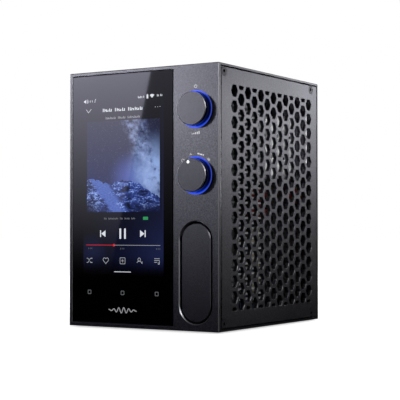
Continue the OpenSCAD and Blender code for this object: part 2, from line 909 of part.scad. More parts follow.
module control_board() {
    color("#173d2b") difference() {
        block([control_x0, control_y, control_z0], [control_x1, control_y + board_t, control_z1]);
        at_control_screws() m25_hole();
    }
}

// ---------- Headphone sockets ----------

module socket_cover() {
    front = plate_y - cover_lift - cover_t;
    color("#47474c") difference() {
        chamfered_stadium(knob_x, recess_z, cover_w, cover_h, front, cover_t, 0.4);
        at_magnets() translate([0, 0, -cover_lift - magnet_t - skin])
            cylinder(r = magnet_r + thread_gap, h = magnet_t + skin + 1);
    }
}

// Children placed at the magnets, on the front of the socket plate
module at_magnets() {
    for (x = [-magnet_x, magnet_x], z = [magnet_lower_z, magnet_upper_z])
        translate([knob_x + x, plate_y, z]) rotate([-90, 0, 0]) children();
}

module cover_magnets() {
    color("#c0c0c6") at_magnets() translate([0, 0, -cover_lift - magnet_t - skin])
        cylinder(r = magnet_r, h = magnet_t);
}

module plate_magnets() {
    color("#c0c0c6") at_magnets() cylinder(r = magnet_r, h = magnet_t);
}

module socket_plate() {
    color("#1f1f22") difference() {
        from_front(plate_y, plate_t) centred(knob_x, recess_z, plate_w, plate_h);
        bar_y(knob_x, plate_y - 1, jack_635_z, jack_635_neck_r + fit_gap, plate_t + 2);
        bar_y(knob_x, plate_y - 1, jack_44_z, jack_44_neck_r + fit_gap, plate_t + 2);
        bar_y(knob_x, plate_y - 1, xlr4_z, xlr4_neck_r + fit_gap, plate_t + 2);
        at_magnets() translate([0, 0, -1]) cylinder(r = magnet_r + thread_gap, h = magnet_t + 1);
        at_plate_screws() m25_hole();
        front_block(fit_gap);
    }
}

// Socket with a plain bore: neck through the plate, block behind it
module jack(z, neck, bore, depth, body) {
    difference() {
        union() {
            bar_y(knob_x, plate_y, z, neck, plate_t + skin);
            from_front(plate_y + plate_t, depth) centred(knob_x, z, body[0], body[1]);
        }
        bar_y(knob_x, plate_y - 1, z, bore, depth + 1);
    }
}

module jack_635() {
    color("#26262a") jack(jack_635_z, jack_635_neck_r, jack_635_r, jack_635_depth, jack_635_body);
}

module jack_44() {
    color("#2d2a22") jack(jack_44_z, jack_44_neck_r, jack_44_r, jack_44_depth, jack_44_body);
}

// Four-pin socket: a plug's shell goes into the groove round the insert
module xlr4_socket() {
    color("#232327") difference() {
        union() {
            bar_y(knob_x, plate_y, xlr4_z, xlr4_neck_r, plate_t + skin);
            bar_y(knob_x, plate_y + plate_t, xlr4_z, xlr4_neck_r + xlr4_collar, xlr4_length);
        }
        difference() {
            bar_y(knob_x, plate_y - 1, xlr4_z, xlr4_groove_r, xlr4_depth + 1);
            bar_y(knob_x, plate_y - 2, xlr4_z, xlr4_insert_r, xlr4_depth + 3);
        }
        for (a = [45:90:315])
            bar_y(knob_x + xlr4_hole_circle_r * cos(a), plate_y - 1, xlr4_z + xlr4_hole_circle_r * sin(a),
                xlr4_hole_r, xlr4_depth);
    }
}

// ---------- Rear connectors ----------

module phono_sockets() {
    color("#c9b067") for (p = phono_places) difference() {
        union() {
            bar_y(p[0], back_y, p[1], phono_flange_r, phono_flange_t);
            bar_y(p[0], back_y, p[1], phono_r, phono_out);
            bar_y(p[0], panel_in_y - skin, p[1], phono_neck_r, rear_t + 2 * skin);
            bar_y(p[0], panel_in_y - phono_inner_l, p[1], phono_flange_r, phono_inner_l);
            bar_y(p[0], panel_in_y - phono_inner_l - phono_lug_l, p[1], 1.5, phono_lug_l + skin);
        }
        bar_y(p[0], back_y + 0.5, p[1], phono_contact_r, phono_out);
        difference() {
            bar_y(p[0], back_y + phono_out - 1.4, p[1], phono_r - 0.6, 2);
            bar_y(p[0], back_y + phono_out - 2, p[1], phono_contact_r + 0.6, 3);
        }
    }
}

module xlr3_sockets() {
    color("#2b2b30") for (z = xlr3_zs) difference() {
        union() {
            from_front(back_y, xlr3_flange_t) rounded(xlr3_x, z, xlr3_flange_w, xlr3_flange_h, 3);
            bar_y(xlr3_x, panel_in_y - xlr3_body_l, z, xlr3_body_r, xlr3_body_l + rear_t + skin);
        }
        bar_y(xlr3_x, back_y + xlr3_flange_t - xlr3_cup_l, z, xlr3_cup_r, xlr3_cup_l + 1);
        at_xlr3_screws() m3_hole();
    }
}

module xlr3_pins() {
    color("#d8c27a") for (z = xlr3_zs, p = xlr3_pin_places)
        bar_y(xlr3_x + p[0], back_y + xlr3_flange_t - xlr3_cup_l, z + p[1], xlr3_pin_r, xlr3_pin_l);
}

// Block behind the rear panel that reaches from the connector board to just outside the panel
module io_block(x, z, size) {
    from_front(io_y + board_t, io_gap + rear_t + socket_out) centred(x, z, size[0], size[1]);
}

// Cavity open to the rear, depth deep
module io_mouth(x, z, size, depth) {
    from_front(back_y + socket_out - depth, depth + 1) centred(x, z, size[0], size[1]);
}

module optical_sockets() {
    color("#1b1b1e") for (x = optical_x) {
        difference() {
            io_block(x, optical_z, optical_size);
            io_mouth(x, optical_z, optical_mouth, 9.5);
        }
        bar_y(x, back_y + socket_out - 9.6, optical_z, 1.1, 4);
    }
}

module usb_b_socket() {
    color("#b4b7bd") {
        difference() {
            io_block(usb_b_x, usb_b_z, usb_b_size);
            io_mouth(usb_b_x, usb_b_z, usb_b_mouth, 9.5);
        }
        from_front(back_y + socket_out - 9.6, 8.6) centred(usb_b_x, usb_b_z, 5.6, 3.2);
    }
}

module usb_a_sockets() {
    color("#b4b7bd") for (z = usb_a_zs) {
        difference() {
            io_block(usb_a_x, z, usb_a_size);
            io_mouth(usb_a_x, z, usb_a_mouth, 11);
        }
        from_front(back_y + socket_out - 11.1, 9.6) centred(usb_a_x, z + 1, 11.1, 1.9);
    }
}

module lan_socket() {
    color("#a9adb3") difference() {
        io_block(lan_x, lan_z, lan_size);
        io_mouth(lan_x, lan_z + 0.6, lan_mouth, 12.5);
        io_mouth(lan_x, lan_z - 4, [6.4, 2.2], 12.5);
    }
}

module dc_socket() {
    color("#222226") {
        difference() {
            union() {
                bar_y(dc_x, back_y, dc_z, 6, 1);
                bar_y(dc_x, panel_in_y - 12, dc_z, dc_neck_r, 12 + rear_t + skin);
            }
            bar_y(dc_x, back_y + 1 - dc_depth, dc_z, dc_bore_r, dc_depth + 1);
        }
        bar_y(dc_x, back_y + 1 - dc_depth - skin, dc_z, dc_pin_r, dc_depth - 1.5 + skin);
    }
}

module mains_inlet() {
    color("#1d1d20") difference() {
        union() {
            from_front(back_y, 1.8) rounded(mains_x, mains_z, mains_w + 6, mains_h + 7, 2);
            from_front(panel_in_y - 20, 20 + rear_t + skin)
                centred(mains_x, mains_z, mains_body[0], mains_body[1]);
        }
        from_front(back_y + 1.8 - mains_depth, mains_depth + 1) translate([mains_x, mains_z])
            cut_corners([-mains_w / 2, -mains_h / 2], [mains_w / 2, mains_h / 2], 1.2);
    }
}

module mains_pins() {
    color("#c8cad0") for (p = mains_pin_places)
        from_front(back_y + 1.8 - mains_depth, mains_depth - 3)
            centred(mains_x + p[0], mains_z + p[1], mains_pin_w, mains_pin_h);
}

module rocker_housing() {
    cup_w = rocker_w + 0.6;
    cup_h = rocker_h + 1.6;
    color("#1d1d20") difference() {
        union() {
            from_front(back_y, 1.6) rounded(rocker_x, rocker_z, rocker_w + 7, rocker_h + 7, 1.5);
            from_front(panel_in_y - 9, 9 + rear_t + skin)
                centred(rocker_x, rocker_z, rocker_body[0], rocker_body[1]);
        }
        from_front(back_y + 1.6 - rocker_cup_depth, rocker_cup_depth + 1)
            centred(rocker_x, rocker_z, cup_w, cup_h);
        bar_x(rocker_x - rocker_w / 2 - rocker_pin_l - skin, rocker_pivot_y, rocker_z,
            rocker_pin_r + running_gap,
            rocker_w + 2 * rocker_pin_l + 2 * skin);
    }
}

// Paddle on two short pivots, lying at one end of its swing
module power_rocker() {
    color("#121214") translate([rocker_x, rocker_pivot_y, rocker_z]) {
        rotate([rocker_angle / 2, 0, 0]) translate([-rocker_w / 2, 0, 0]) rotate([90, 0, 90])
            linear_extrude(rocker_w) difference() {
                translate([-1.8, -rocker_h / 2]) square([rocker_t + 0.6, rocker_h]);
                translate([rocker_t + 20.4, 0]) circle(r = 22);
            }
        bar_x(-rocker_w / 2 - rocker_pin_l, 0, 0, rocker_pin_r, rocker_w + 2 * rocker_pin_l);
    }
}

module slide_switch_housings() {
    body_l = 19;
    color("#2a2a2e") for (x = [ground_lift_x, power_select_x]) difference() {
        from_front(panel_in_y - 6, 6) centred(x, slide_z, body_l, 8);
        from_front(panel_in_y - 1.5, 2) centred(x, slide_z, slot_w, slot_h);
        from_front(panel_in_y - 4, 2.6)
            centred(x, slide_z, carriage_w + slider_travel + 0.6, carriage_h + 0.6);
    }
}

// Slider at the left end of its slot: knob through the panel on a wider carriage
module slider(x) {
    start = x - slider_travel / 2;
    from_front(panel_in_y - 3.8, 2.2) centred(start, slide_z, carriage_w, carriage_h);
    from_front(panel_in_y - 1.8, 1.8 + rear_t + slider_out) centred(start, slide_z, slider_w, slider_h);
}

module ground_lift_slider() {
    color("#0f0f10") slider(ground_lift_x);
}

module power_select_slider() {
    color("#0f0f10") slider(power_select_x);
}

// ---------- Boards ----------

module io_board() {
    color("#173d2b") block([io_x0, io_y, io_z0], [io_x1, io_y + board_t, io_z1]);
}

module main_board() {
    color("#1a2f4a") difference() {
        block([main_x, main_y0, main_z0], [main_x + board_t, main_y1, main_z1]);
        at_main_screws() m25_hole();
    }
}

module shield_cans() {
    color("#b9bcc2") for (p = [[main_y0 + 26, main_z0 + 14], [main_y0 + 26, main_z0 + 52],
            [main_y0 + 64, main_z0 + 52]])
        from_left(main_x - 3, 3) rounded(p[0], p[1], 30, 24, 1.5);
}

module amplifier_board() {
    color("#14202a") difference() {
        from_left(amp_x, board_t) polygon([[amp_y0, amp_z0], [amp_y1, amp_z0], [amp_y1, amp_tail_z],
            [amp_tail_y, amp_tail_z], [amp_tail_y, amp_z1], [amp_y0, amp_z1]]);
        at_amplifier_screws() m25_hole();
    }
}

// Finned block: upright base with level fins reaching towards the vents
module heat_sink() {
    x = amp_x + board_t + m25_head_t + 0.2;
    color("#a9acb2") {
        block([x, sink_y0, sink_z0], [x + sink_base_t, sink_y1, sink_z1]);
        for (z = [sink_z0:fin_pitch:sink_z1 - fin_t])
            block([x + sink_base_t - skin, sink_y0, z], [x + sink_depth, sink_y1, z + fin_t]);
        for (z = [sink_z0 + 10, sink_z1 - 14])
            block([amp_x + board_t, sink_y0 + 12, z], [x + skin, sink_y0 + 20, z + 4]);
    }
}

module smoothing_capacitors() {
    color("#c9ccd2") for (y = can_ys, z = can_zs) bar_x(amp_x + board_t, y, z, can_r, can_l);
}

module film_capacitors() {
    color("#7a2320") for (y = film_ys, z = film_zs)
        translate([amp_x + board_t, y - film_size[1] / 2, z]) cube(film_size);
}

module relays() {
    color("#d9d2b4") for (z = relay_zs)
        translate([amp_x + board_t, relay_y - relay_size[1] / 2, z]) cube(relay_size);
}

module power_board() {
    color("#173d2b") difference() {
        block([power_x0, power_y0, power_z], [power_x1, power_y1, power_z + board_t]);
        at_power_screws() m25_hole();
    }
}

// Core round a wound bobbin
module transformer() {
    x = (power_x0 + power_x1) / 2;
    y = power_y0 + 55;
    z = power_z + board_t;
    color("#d8b13c") {
        block([x - 15, y - 8, z], [x + 15, y + 8, z + 4]);
        block([x - 15, y - 8, z + 20], [x + 15, y + 8, z + 24]);
        for (side = [-1, 1])
            block([x + side * 13 - 2, y - 8, z + 4 - skin], [x + side * 13 + 2, y + 8, z + 20 + skin]);
        translate([x, y, z + 4 - skin]) cylinder(r = 10.6, h = 16 + 2 * skin);
    }
}

module bulk_capacitors() {
    color("#20242c") for (x = bulk_xs)
        translate([x, power_y0 + 15, power_z + board_t]) cylinder(r = bulk_r, h = bulk_l);
}

main_frame();
rear_panel();
right_side_panel();
left_side_panel();
side_panel_screws();
case_screws();
rubber_feet();
chassis_plate();
board_screws();
board_standoffs();
cover_glass();
display_panel();
display_backplate();
touch_key_board();
wifi_antenna();
display_ribbon();
volume_knob();
volume_shaft();
volume_plunger();
volume_encoder();
selector_knob();
selector_pointer();
selector_shaft();
selector_switch();
shaft_nuts();
light_rings();
control_board();
socket_cover();
cover_magnets();
socket_plate();
plate_magnets();
jack_635();
jack_44();
xlr4_socket();
phono_sockets();
xlr3_sockets();
xlr3_pins();
optical_sockets();
usb_b_socket();
usb_a_sockets();
lan_socket();
dc_socket();
mains_inlet();
mains_pins();
rocker_housing();
power_rocker();
slide_switch_housings();
ground_lift_slider();
power_select_slider();
io_board();
main_board();
shield_cans();
amplifier_board();
heat_sink();
smoothing_capacitors();
film_capacitors();
relays();
power_board();
transformer();
bulk_capacitors();
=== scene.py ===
"""Desktop digital audio player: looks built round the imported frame, as operators in one sidebar panel."""

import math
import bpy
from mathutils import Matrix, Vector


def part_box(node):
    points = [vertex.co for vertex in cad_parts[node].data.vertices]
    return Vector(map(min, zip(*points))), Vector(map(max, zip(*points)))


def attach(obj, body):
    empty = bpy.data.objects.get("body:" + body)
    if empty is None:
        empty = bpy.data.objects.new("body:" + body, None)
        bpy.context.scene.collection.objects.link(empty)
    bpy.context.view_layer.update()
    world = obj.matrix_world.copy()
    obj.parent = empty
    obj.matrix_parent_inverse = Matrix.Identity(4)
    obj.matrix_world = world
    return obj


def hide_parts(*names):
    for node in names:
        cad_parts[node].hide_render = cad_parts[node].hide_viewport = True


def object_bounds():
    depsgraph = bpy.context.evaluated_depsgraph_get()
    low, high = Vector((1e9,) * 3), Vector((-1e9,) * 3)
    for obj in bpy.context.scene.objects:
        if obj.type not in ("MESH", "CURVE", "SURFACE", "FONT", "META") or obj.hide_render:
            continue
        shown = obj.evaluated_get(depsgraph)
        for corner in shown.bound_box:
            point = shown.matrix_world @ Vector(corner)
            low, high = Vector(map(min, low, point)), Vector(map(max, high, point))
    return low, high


bl_info = {
    "name": "Desktop audio player",
    "version": (1, 0, 0),
    "blender": (4, 5, 0),
    "location": "3D View > Sidebar > Player",
    "description": "Dresses the frame of a desktop audio player and lights it in a small studio",
    "category": "Add Mesh",
}

import bmesh
import bpy
from bpy.props import FloatProperty, FloatVectorProperty, PointerProperty
from mathutils import Matrix, Vector
from mathutils.geometry import tessellate_polygon

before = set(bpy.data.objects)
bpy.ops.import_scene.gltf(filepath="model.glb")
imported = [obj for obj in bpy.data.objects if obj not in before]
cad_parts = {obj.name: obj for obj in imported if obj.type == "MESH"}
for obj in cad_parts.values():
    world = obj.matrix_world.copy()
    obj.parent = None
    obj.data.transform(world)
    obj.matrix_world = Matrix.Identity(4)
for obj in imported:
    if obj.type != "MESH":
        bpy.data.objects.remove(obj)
CAD_LOW, CAD_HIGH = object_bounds()

MM = 0.001
MAIN_BODY = "enclosure"
# A radius below this, in metres, lies on the axis of a turned body
ON_AXIS = 1e-9


def centre(node):
    low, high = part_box(node)
    return (low + high) / 2


def front_centre(node):
    low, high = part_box(node)
    return (low.x + high.x) / 2, low.y, (low.z + high.z) / 2


FACE_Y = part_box("main_frame")[0].y
BACK_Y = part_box("rear_panel")[1].y
GLASS_LOW, GLASS_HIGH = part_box("cover_glass")
GLASS_Y = GLASS_LOW.y
SCREEN_X = (GLASS_LOW.x + GLASS_HIGH.x) / 2 + 0.9 * MM
VOLUME = centre("volume_knob")
SELECTOR = centre("selector_knob")


# ---------- Sizes and colours a user may change ----------


def length(name, description, default):
    return FloatProperty(name=name, description=description, default=default * MM, unit="LENGTH", precision=5)


def power(name, description, default):
    return FloatProperty(name=name, description=description, default=default, subtype="POWER")


def colour(name, description, default):
    limits = {"subtype": "COLOR", "size": 3, "min": 0, "max": 1}
    return FloatVectorProperty(name=name, description=description, default=default, **limits)


class PlayerSizes(bpy.types.PropertyGroup):
    vent_pitch: length("Vent pitch", "Distance between neighbouring hexagonal holes", 9.54)
    vent_flats: length("Vent width", "Width of a hexagonal hole across its flats", 7.1)
    vent_round: length("Vent corners", "Radius of the corners of a hexagonal hole", 0.9)
    vent_margin: length("Vent margin", "Plain margin above and below the holes", 11.8)
    vent_front: length("Vent front margin", "Plain margin in front of the holes", 14.5)
    vent_rear: length("Vent rear margin", "Plain margin behind the holes", 10.0)
    hole_chamfer: length("Hole chamfer", "Chamfer on the rim of each hole", 0.16)
    panel_chamfer: length("Panel chamfer", "Chamfer round the outside of a side panel", 0.6)
    knob_chamfer: length("Knob chamfer", "Bright chamfer round a knob's face", 0.35)
    ink: length("Ink thickness", "How thick the printed marks are", 0.02)
    lamp: length("Icon thickness", "How thick the lit icons are", 0.015)


class PlayerColours(bpy.types.PropertyGroup):
    metal: colour("Metal", "Anodised aluminium of the enclosure", (0.086, 0.086, 0.1))
    cut_metal: colour("Cut edges", "Bare metal on the chamfers", (0.34, 0.34, 0.37))
    recess_rim: colour("Recess rim", "Bright rim round the socket cover", (0.6, 0.6, 0.64))
    glass: colour("Glass", "Glass over the black mask", (0.0003, 0.0003, 0.0005))
    icon: colour("Icons", "Light of the icons on the screen", (0.8, 0.83, 0.9))
    accent: colour("Accent", "Played part of the progress line", (0.75, 0.02, 0.03))
    ring: colour("Ring", "Light of the rings round the knobs", (0.01, 0.075, 1.0))
    print_ink: colour("Print", "Marks printed on the metal", (0.55, 0.55, 0.57))


class PlayerStudio(bpy.types.PropertyGroup):
    lens: FloatProperty(name="Lens", description="Focal length of the camera in millimetres", default=110.25)
    key_power: power("Key", "Power of the light on the front", 10.0)
    side_power: power("Side", "Power of the light along the vented side", 4.6)
    fill_power: power("Fill", "Power of the light into the vents", 3.0)
    back_power: power("Back", "Power of the lights behind, to the left and above", 6.0)
    card_light: FloatProperty(name="Card", description="Brightness of the card in the glass", default=3.2)
    floor: colour("Floor", "Colour of the floor", (0.5, 0.5, 0.5))
    floor_glow: FloatProperty(name="Floor glow", description="Light of the lit floor", default=0.62)


def sizes():
    return bpy.context.scene.player_sizes


def colours():
    return bpy.context.scene.player_colours


def studio():
    return bpy.context.scene.player_studio


# ---------- Meshes ----------


def arc(x, z, r, start, end, steps):
    """Points on an arc, angles in degrees."""
    angles = (math.radians(start + (end - start) * i / steps) for i in range(steps + 1))
    return [(x + r * math.cos(a), z + r * math.sin(a)) for a in angles]


def circle(x, z, r, steps):
    return arc(x, z, r, 0, 360, steps)[:-1]


def disc(x, z, r, steps=32):
    return [circle(x, z, r, steps)]


def ring(x, z, r, width, steps):
    return [circle(x, z, r, steps), arc(x, z, r - width, 360, 0, steps)[:-1]]


def bent_band(x, z, r, width, start, end, steps=16):
    return [arc(x, z, r, start, end, steps) + arc(x, z, r - width, end, start, steps)]


def pill(x, z, w, h, r=None, steps=6):
    """Rectangle with round corners; without r its short ends are half circles."""
    r = min(w, h) / 2 if r is None else r
    dx, dz = w / 2 - r, h / 2 - r
    points = []
    for sx, sz, start in ((1, 1, 0), (-1, 1, 90), (-1, -1, 180), (1, -1, 270)):
        points += arc(x + sx * dx, z + sz * dz, r, start, start + 90, steps)
    return [points]


def ribbon(points, width, closed=False):
    """Outline of a stroke of one width along the points, with mitred corners."""
    count = len(points)
    left, right = [], []
    for i, point in enumerate(points):
        p = Vector(point)
        before = Vector(points[i - 1]) if closed or i else None
        after = Vector(points[(i + 1) % count]) if closed or i < count - 1 else None
        steps = (p - before if before else None, after - p if after else None)
        ways = [step.normalized() for step in steps if step]
        way = sum(ways, Vector((0, 0))).normalized()
        side = Vector((-way.y, way.x)) * width / 2 / max(way.dot(ways[0]), 0.35)
        left.append(tuple(p + side))
        right.append(tuple(p - side))
    return [left, right[::-1]] if closed else [left + right[::-1]]


def moved(shapes, x=0.0, z=0.0, turn=0.0, scale=1.0):
    """The same shapes turned by degrees about the origin, scaled and then moved."""
    c, s = math.cos(math.radians(turn)) * scale, math.sin(math.radians(turn)) * scale

    def place(u, v):
        return x + c * u - s * v, z + s * u + c * v

    return [[[place(u, v) for u, v in loop] for loop in shape] for shape in shapes]


def add_plate(verts, faces, shape, y, depth):
    """Adds a flat plate in the XZ plane: its first loop is the outline and the others are holes.

    The loops are in millimetres; y and depth are in metres.
    """
    loops = [[(u * MM, v * MM) for u, v in loop] for loop in shape]
    flat = [Vector((u, v, 0)) for loop in loops for u, v in loop]
    start = len(verts)
    verts += [(p.x, y, p.y) for p in flat] + [(p.x, y + depth, p.y) for p in flat]
    count = len(flat)
    for a, b, c in tessellate_polygon([[Vector((u, v, 0)) for u, v in loop] for loop in loops]):
        turn = (flat[b] - flat[a]).cross(flat[c] - flat[a]).z
        front = (a, b, c) if turn > 0 else (a, c, b)
        faces.append([start + i for i in front])
        faces.append([start + count + i for i in reversed(front)])
    offset = start
    for loop in loops:
        n = len(loop)
        area = sum(p[0] * q[1] - q[0] * p[1] for p, q in zip(loop, loop[1:] + loop[:1]))
        is_outline = offset == start
        for i in range(n):
            a, b = offset + i, offset + (i + 1) % n
            wall = [a, a + count, b + count, b]
            faces.append(wall if (area > 0) == is_outline else wall[::-1])
        offset += n


def mesh_object(name, verts, faces):
    mesh = bpy.data.meshes.new(name)
    mesh.from_pydata([tuple(v) for v in verts], [], faces)
    mesh.validate()
    return link(name, mesh)


def link(name, data):
    obj = bpy.data.objects.new(name, data)
    bpy.context.scene.collection.objects.link(obj)
    return obj


def plates(name, shapes, y, depth):
    """One object of flat plates that share a front plane; y is that plane."""
    verts, faces = [], []
    for shape in shapes:
        add_plate(verts, faces, shape, y, depth)
    return mesh_object(name, verts, faces)


def lathe(name, base, profile, steps=192):
    """Body turned about an axis along y; the profile is a closed loop of (radius, distance) in metres."""
    verts, faces = [], []
    count = len(profile)
    for i in range(steps):
        angle = 2 * math.pi * i / steps
        verts += [Vector(base) + Vector((r * math.sin(angle), t, r * math.cos(angle))) for r, t in profile]
        a, b = i * count, (i + 1) % steps * count
        for j in range(count):
            k = (j + 1) % count
            if profile[j][0] > ON_AXIS or profile[k][0] > ON_AXIS:
                faces.append([a + j, b + j, b + k, a + k])
    obj = mesh_object(name, verts, faces)
    weld(obj)
    return obj


def weld(obj, distance=1e-6):
    """Joins the points that lie together, drops empty faces and turns the normals outwards."""
    bm = bmesh.new()
    bm.from_mesh(obj.data)
    bmesh.ops.remove_doubles(bm, verts=bm.verts, dist=distance)
    bmesh.ops.dissolve_degenerate(bm, edges=bm.edges, dist=distance / 10)
    bmesh.ops.recalc_face_normals(bm, faces=bm.faces)
    bm.to_mesh(obj.data)
    bm.free()


def smooth_by_angle(obj, degrees=30):
    """Smooth shading except across edges sharper than the angle."""
    obj.data.shade_smooth()
    obj.data.set_sharp_from_angle(angle=math.radians(degrees))


def dress(obj, body, slot, *materials):
    """Gives a piece its materials and the body it rides on; the slot is not used."""
    for material in materials:
        obj.data.materials.append(material)
    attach(obj, body)
    return obj


def coat(material, *nodes):
    """Puts a material on whole CAD nodes."""
    for name in nodes:
        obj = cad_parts[name]
        if not obj.material_slots:
            obj.data.materials.append(material)
        for place in obj.material_slots:
            place.material = material


# ---------- Materials ----------


def add_node(tree, kind, inputs=None, **settings):
    """Adds a node; each input is a socket to link or a value to set."""
    node = tree.nodes.new(kind)
    for key, value in settings.items():
        setattr(node, key, value)
    for key, value in (inputs or {}).items():
        if isinstance(value, bpy.types.NodeSocket):
            tree.links.new(value, node.inputs[key])
        else:
            node.inputs[key].default_value = value
    return node


# A face whose normal has less than this along every axis is a chamfer
FACING = 0.96


class Shader:
    """A node material that starts as a Principled BSDF on object coordinates."""

    def __init__(self, name, colour=(0.5, 0.5, 0.5), roughness=0.5, metallic=0.0):
        self.material = bpy.data.materials.new(name)
        self.material.use_nodes = True
        self.tree = self.material.node_tree
        self.bsdf = self.tree.nodes["Principled BSDF"]
        self.set("Base Color", (*colour, 1))
        self.set("Roughness", roughness)
        self.set("Metallic", metallic)
        self.place = self.node("ShaderNodeTexCoord").outputs["Object"]

    def set(self, socket, value):
        self.bsdf.inputs[socket].default_value = value

    def node(self, kind, inputs=None, **settings):
        return add_node(self.tree, kind, inputs, **settings)

    def link(self, output, socket):
        self.tree.links.new(output, self.bsdf.inputs[socket])

    def math(self, operation, a, b=0.0, c=0.0):
        return self.node("ShaderNodeMath", {0: a, 1: b, 2: c}, operation=operation).outputs[0]

    def plus(self, a, b):
        return self.math("ADD", a, b)

    def minus(self, a, b):
        return self.math("SUBTRACT", a, b)

    def times(self, a, b):
        return self.math("MULTIPLY", a, b)

    def absolute(self, a):
        return self.math("ABSOLUTE", a)

    def distance(self, a, b):
        """Length of a flat vector."""
        return self.math("SQRT", self.plus(self.times(a, a), self.times(b, b)))

    def span(self, value, low, high, to_low=0.0, to_high=1.0, smooth=False):
        """Maps a value from one span to another, held inside it."""
        inputs = {"Value": value, "From Min": low, "From Max": high, "To Min": to_low, "To Max": to_high}
        kind = "SMOOTHSTEP" if smooth else "LINEAR"
        return self.node("ShaderNodeMapRange", inputs, interpolation_type=kind).outputs["Result"]

    def noise(self, scale, detail=2.0, place=None, **inputs):
        """Noise whose scale is in features per metre."""
        values = {"Vector": place or self.place, "Scale": scale, "Detail": detail}
        values.update({key.capitalize(): value for key, value in inputs.items()})
        return self.node("ShaderNodeTexNoise", values).outputs["Fac"]

    def spread(self, noise, low=0.0, high=1.0):
        """Maps the middle of a noise, where most of its values lie, to a span."""
        return self.span(noise, 0.3, 0.7, low, high)

    def grain(self, scale, detail, low=0.0, high=1.0):
        return self.spread(self.noise(scale, detail), low, high)

    def mix(self, factor, a, b):
        """Mixes two colours."""
        a, b = (value if isinstance(value, bpy.types.NodeSocket) else (*value, 1) for value in (a, b))
        return self.node("ShaderNodeMix", {0: factor, 6: a, 7: b}, data_type="RGBA").outputs[2]

    def axes(self, vector=None):
        return self.node("ShaderNodeSeparateXYZ", {"Vector": vector or self.place}).outputs

    def vector(self, x, y, z=0.0):
        return self.node("ShaderNodeCombineXYZ", {0: x, 1: y, 2: z}).outputs[0]

    def bump(self, height, distance, strength=1.0):
        inputs = {"Height": height, "Distance": distance, "Strength": strength}
        self.link(self.node("ShaderNodeBump", inputs).outputs["Normal"], "Normal")

    def inside(self, low, high):
        """1 between two corners and 0 elsewhere."""
        result = 1.0
        for value, least, most in zip(self.axes(), low, high):
            half, middle = (most - least) / 2, (most + least) / 2
            near = self.math("LESS_THAN", self.absolute(self.minus(value, middle)), half)
            result = self.times(result, near)
        return result

    def edges(self):
        """1 on faces that look along no axis, such as chamfers, and 0 on the others."""
        normal = self.node("ShaderNodeNewGeometry").outputs["True Normal"]
        positive = self.node("ShaderNodeVectorMath", {0: normal}, operation="ABSOLUTE").outputs[0]
        x, y, z = self.axes(positive)
        largest = self.math("MAXIMUM", self.math("MAXIMUM", x, y), z)
        return self.math("LESS_THAN", largest, FACING)


def tinted(colour, factor):
    return tuple(min(1.0, c * factor) for c in colour)


def blasted_metal(name, colour, roughness=0.42, shade=0.55, grain=1300, cut=None, rim=None, rim_box=None):
    """Fine bead-blasted anodised metal.

    A cut colour gives the chamfers a bare machined look, and a rim colour those inside rim_box.
    """
    shader = Shader(name, colour, roughness, 1.0)
    fine = shader.noise(grain, 4.0, roughness=0.7)
    broad = shader.noise(14, 2.0)
    fleck = shader.spread(fine)
    body = shader.mix(fleck, tinted(colour, 1 - shade), tinted(colour, 1 + shade))
    body = shader.mix(shader.spread(broad, 0.0, 0.12), body, tinted(colour, 1.5))
    rough = shader.plus(shader.span(fine, 0.25, 0.75, -0.05, 0.05), roughness)
    rough = shader.plus(rough, shader.spread(broad, -0.03, 0.03))
    if cut:
        edge = shader.edges()
        bare = shader.mix(shader.inside(*rim_box), cut, rim) if rim else cut
        body = shader.mix(edge, body, bare)
        rough = shader.span(edge, 0.0, 1.0, rough, 0.4)
    shader.link(body, "Base Color")
    shader.link(rough, "Roughness")
    shader.bump(fine, 0.00003, 0.55)
    return shader.material


def cut_metal(name, colour, roughness=0.2, lines=9000):
    """Machined bright metal with faint tool lines."""
    shader = Shader(name, colour, roughness, 1.0)
    x, y, z = shader.axes()
    stretched = shader.vector(x, shader.times(y, 12.0), z)
    wear = shader.noise(lines / 20, 3.0, stretched)
    worn = shader.mix(shader.spread(wear), tinted(colour, 0.8), tinted(colour, 1.2))
    shader.link(worn, "Base Color")
    shader.link(shader.spread(wear, roughness * 0.8, roughness * 1.3), "Roughness")
    shader.bump(shader.noise(lines / 8, 2.0, stretched), 0.00001, 0.3)
    return shader.material


def moulded_plastic(name, colour, roughness=0.45, grain=1500, depth=0.00004, shade=0.12):
    """Moulded plastic with a fine spark-eroded grain."""
    shader = Shader(name, colour, roughness)
    fine = shader.noise(grain, 4.0)
    shader.link(shader.mix(fine, tinted(colour, 1 - shade), tinted(colour, 1 + shade)), "Base Color")
    shader.link(shader.grain(60, 2.0, roughness - 0.06, roughness + 0.06), "Roughness")
    shader.bump(fine, depth, 0.5)
    return shader.material


def rolled_metal(name, colour, roughness=0.3, along=0, grain=700, bump=0.00001, metallic=1.0):
    """Rolled, drawn or turned metal whose grain runs along one axis (0, 1 or 2)."""
    shader = Shader(name, colour, roughness, metallic)
    parts = list(shader.axes())
    parts[along] = shader.times(parts[along], 0.04)
    streak = shader.noise(grain, 4.0, shader.vector(*parts))
    spots = shader.noise(90, 3.0)
    base = shader.mix(shader.spread(streak), tinted(colour, 0.82), tinted(colour, 1.12))
    shader.link(shader.mix(shader.span(spots, 0.55, 0.75, 0, 0.3), base, tinted(colour, 0.6)), "Base Color")
    shader.link(shader.spread(streak, roughness * 0.8, roughness * 1.25), "Roughness")
    shader.bump(streak, bump, 0.5)
    return shader.material


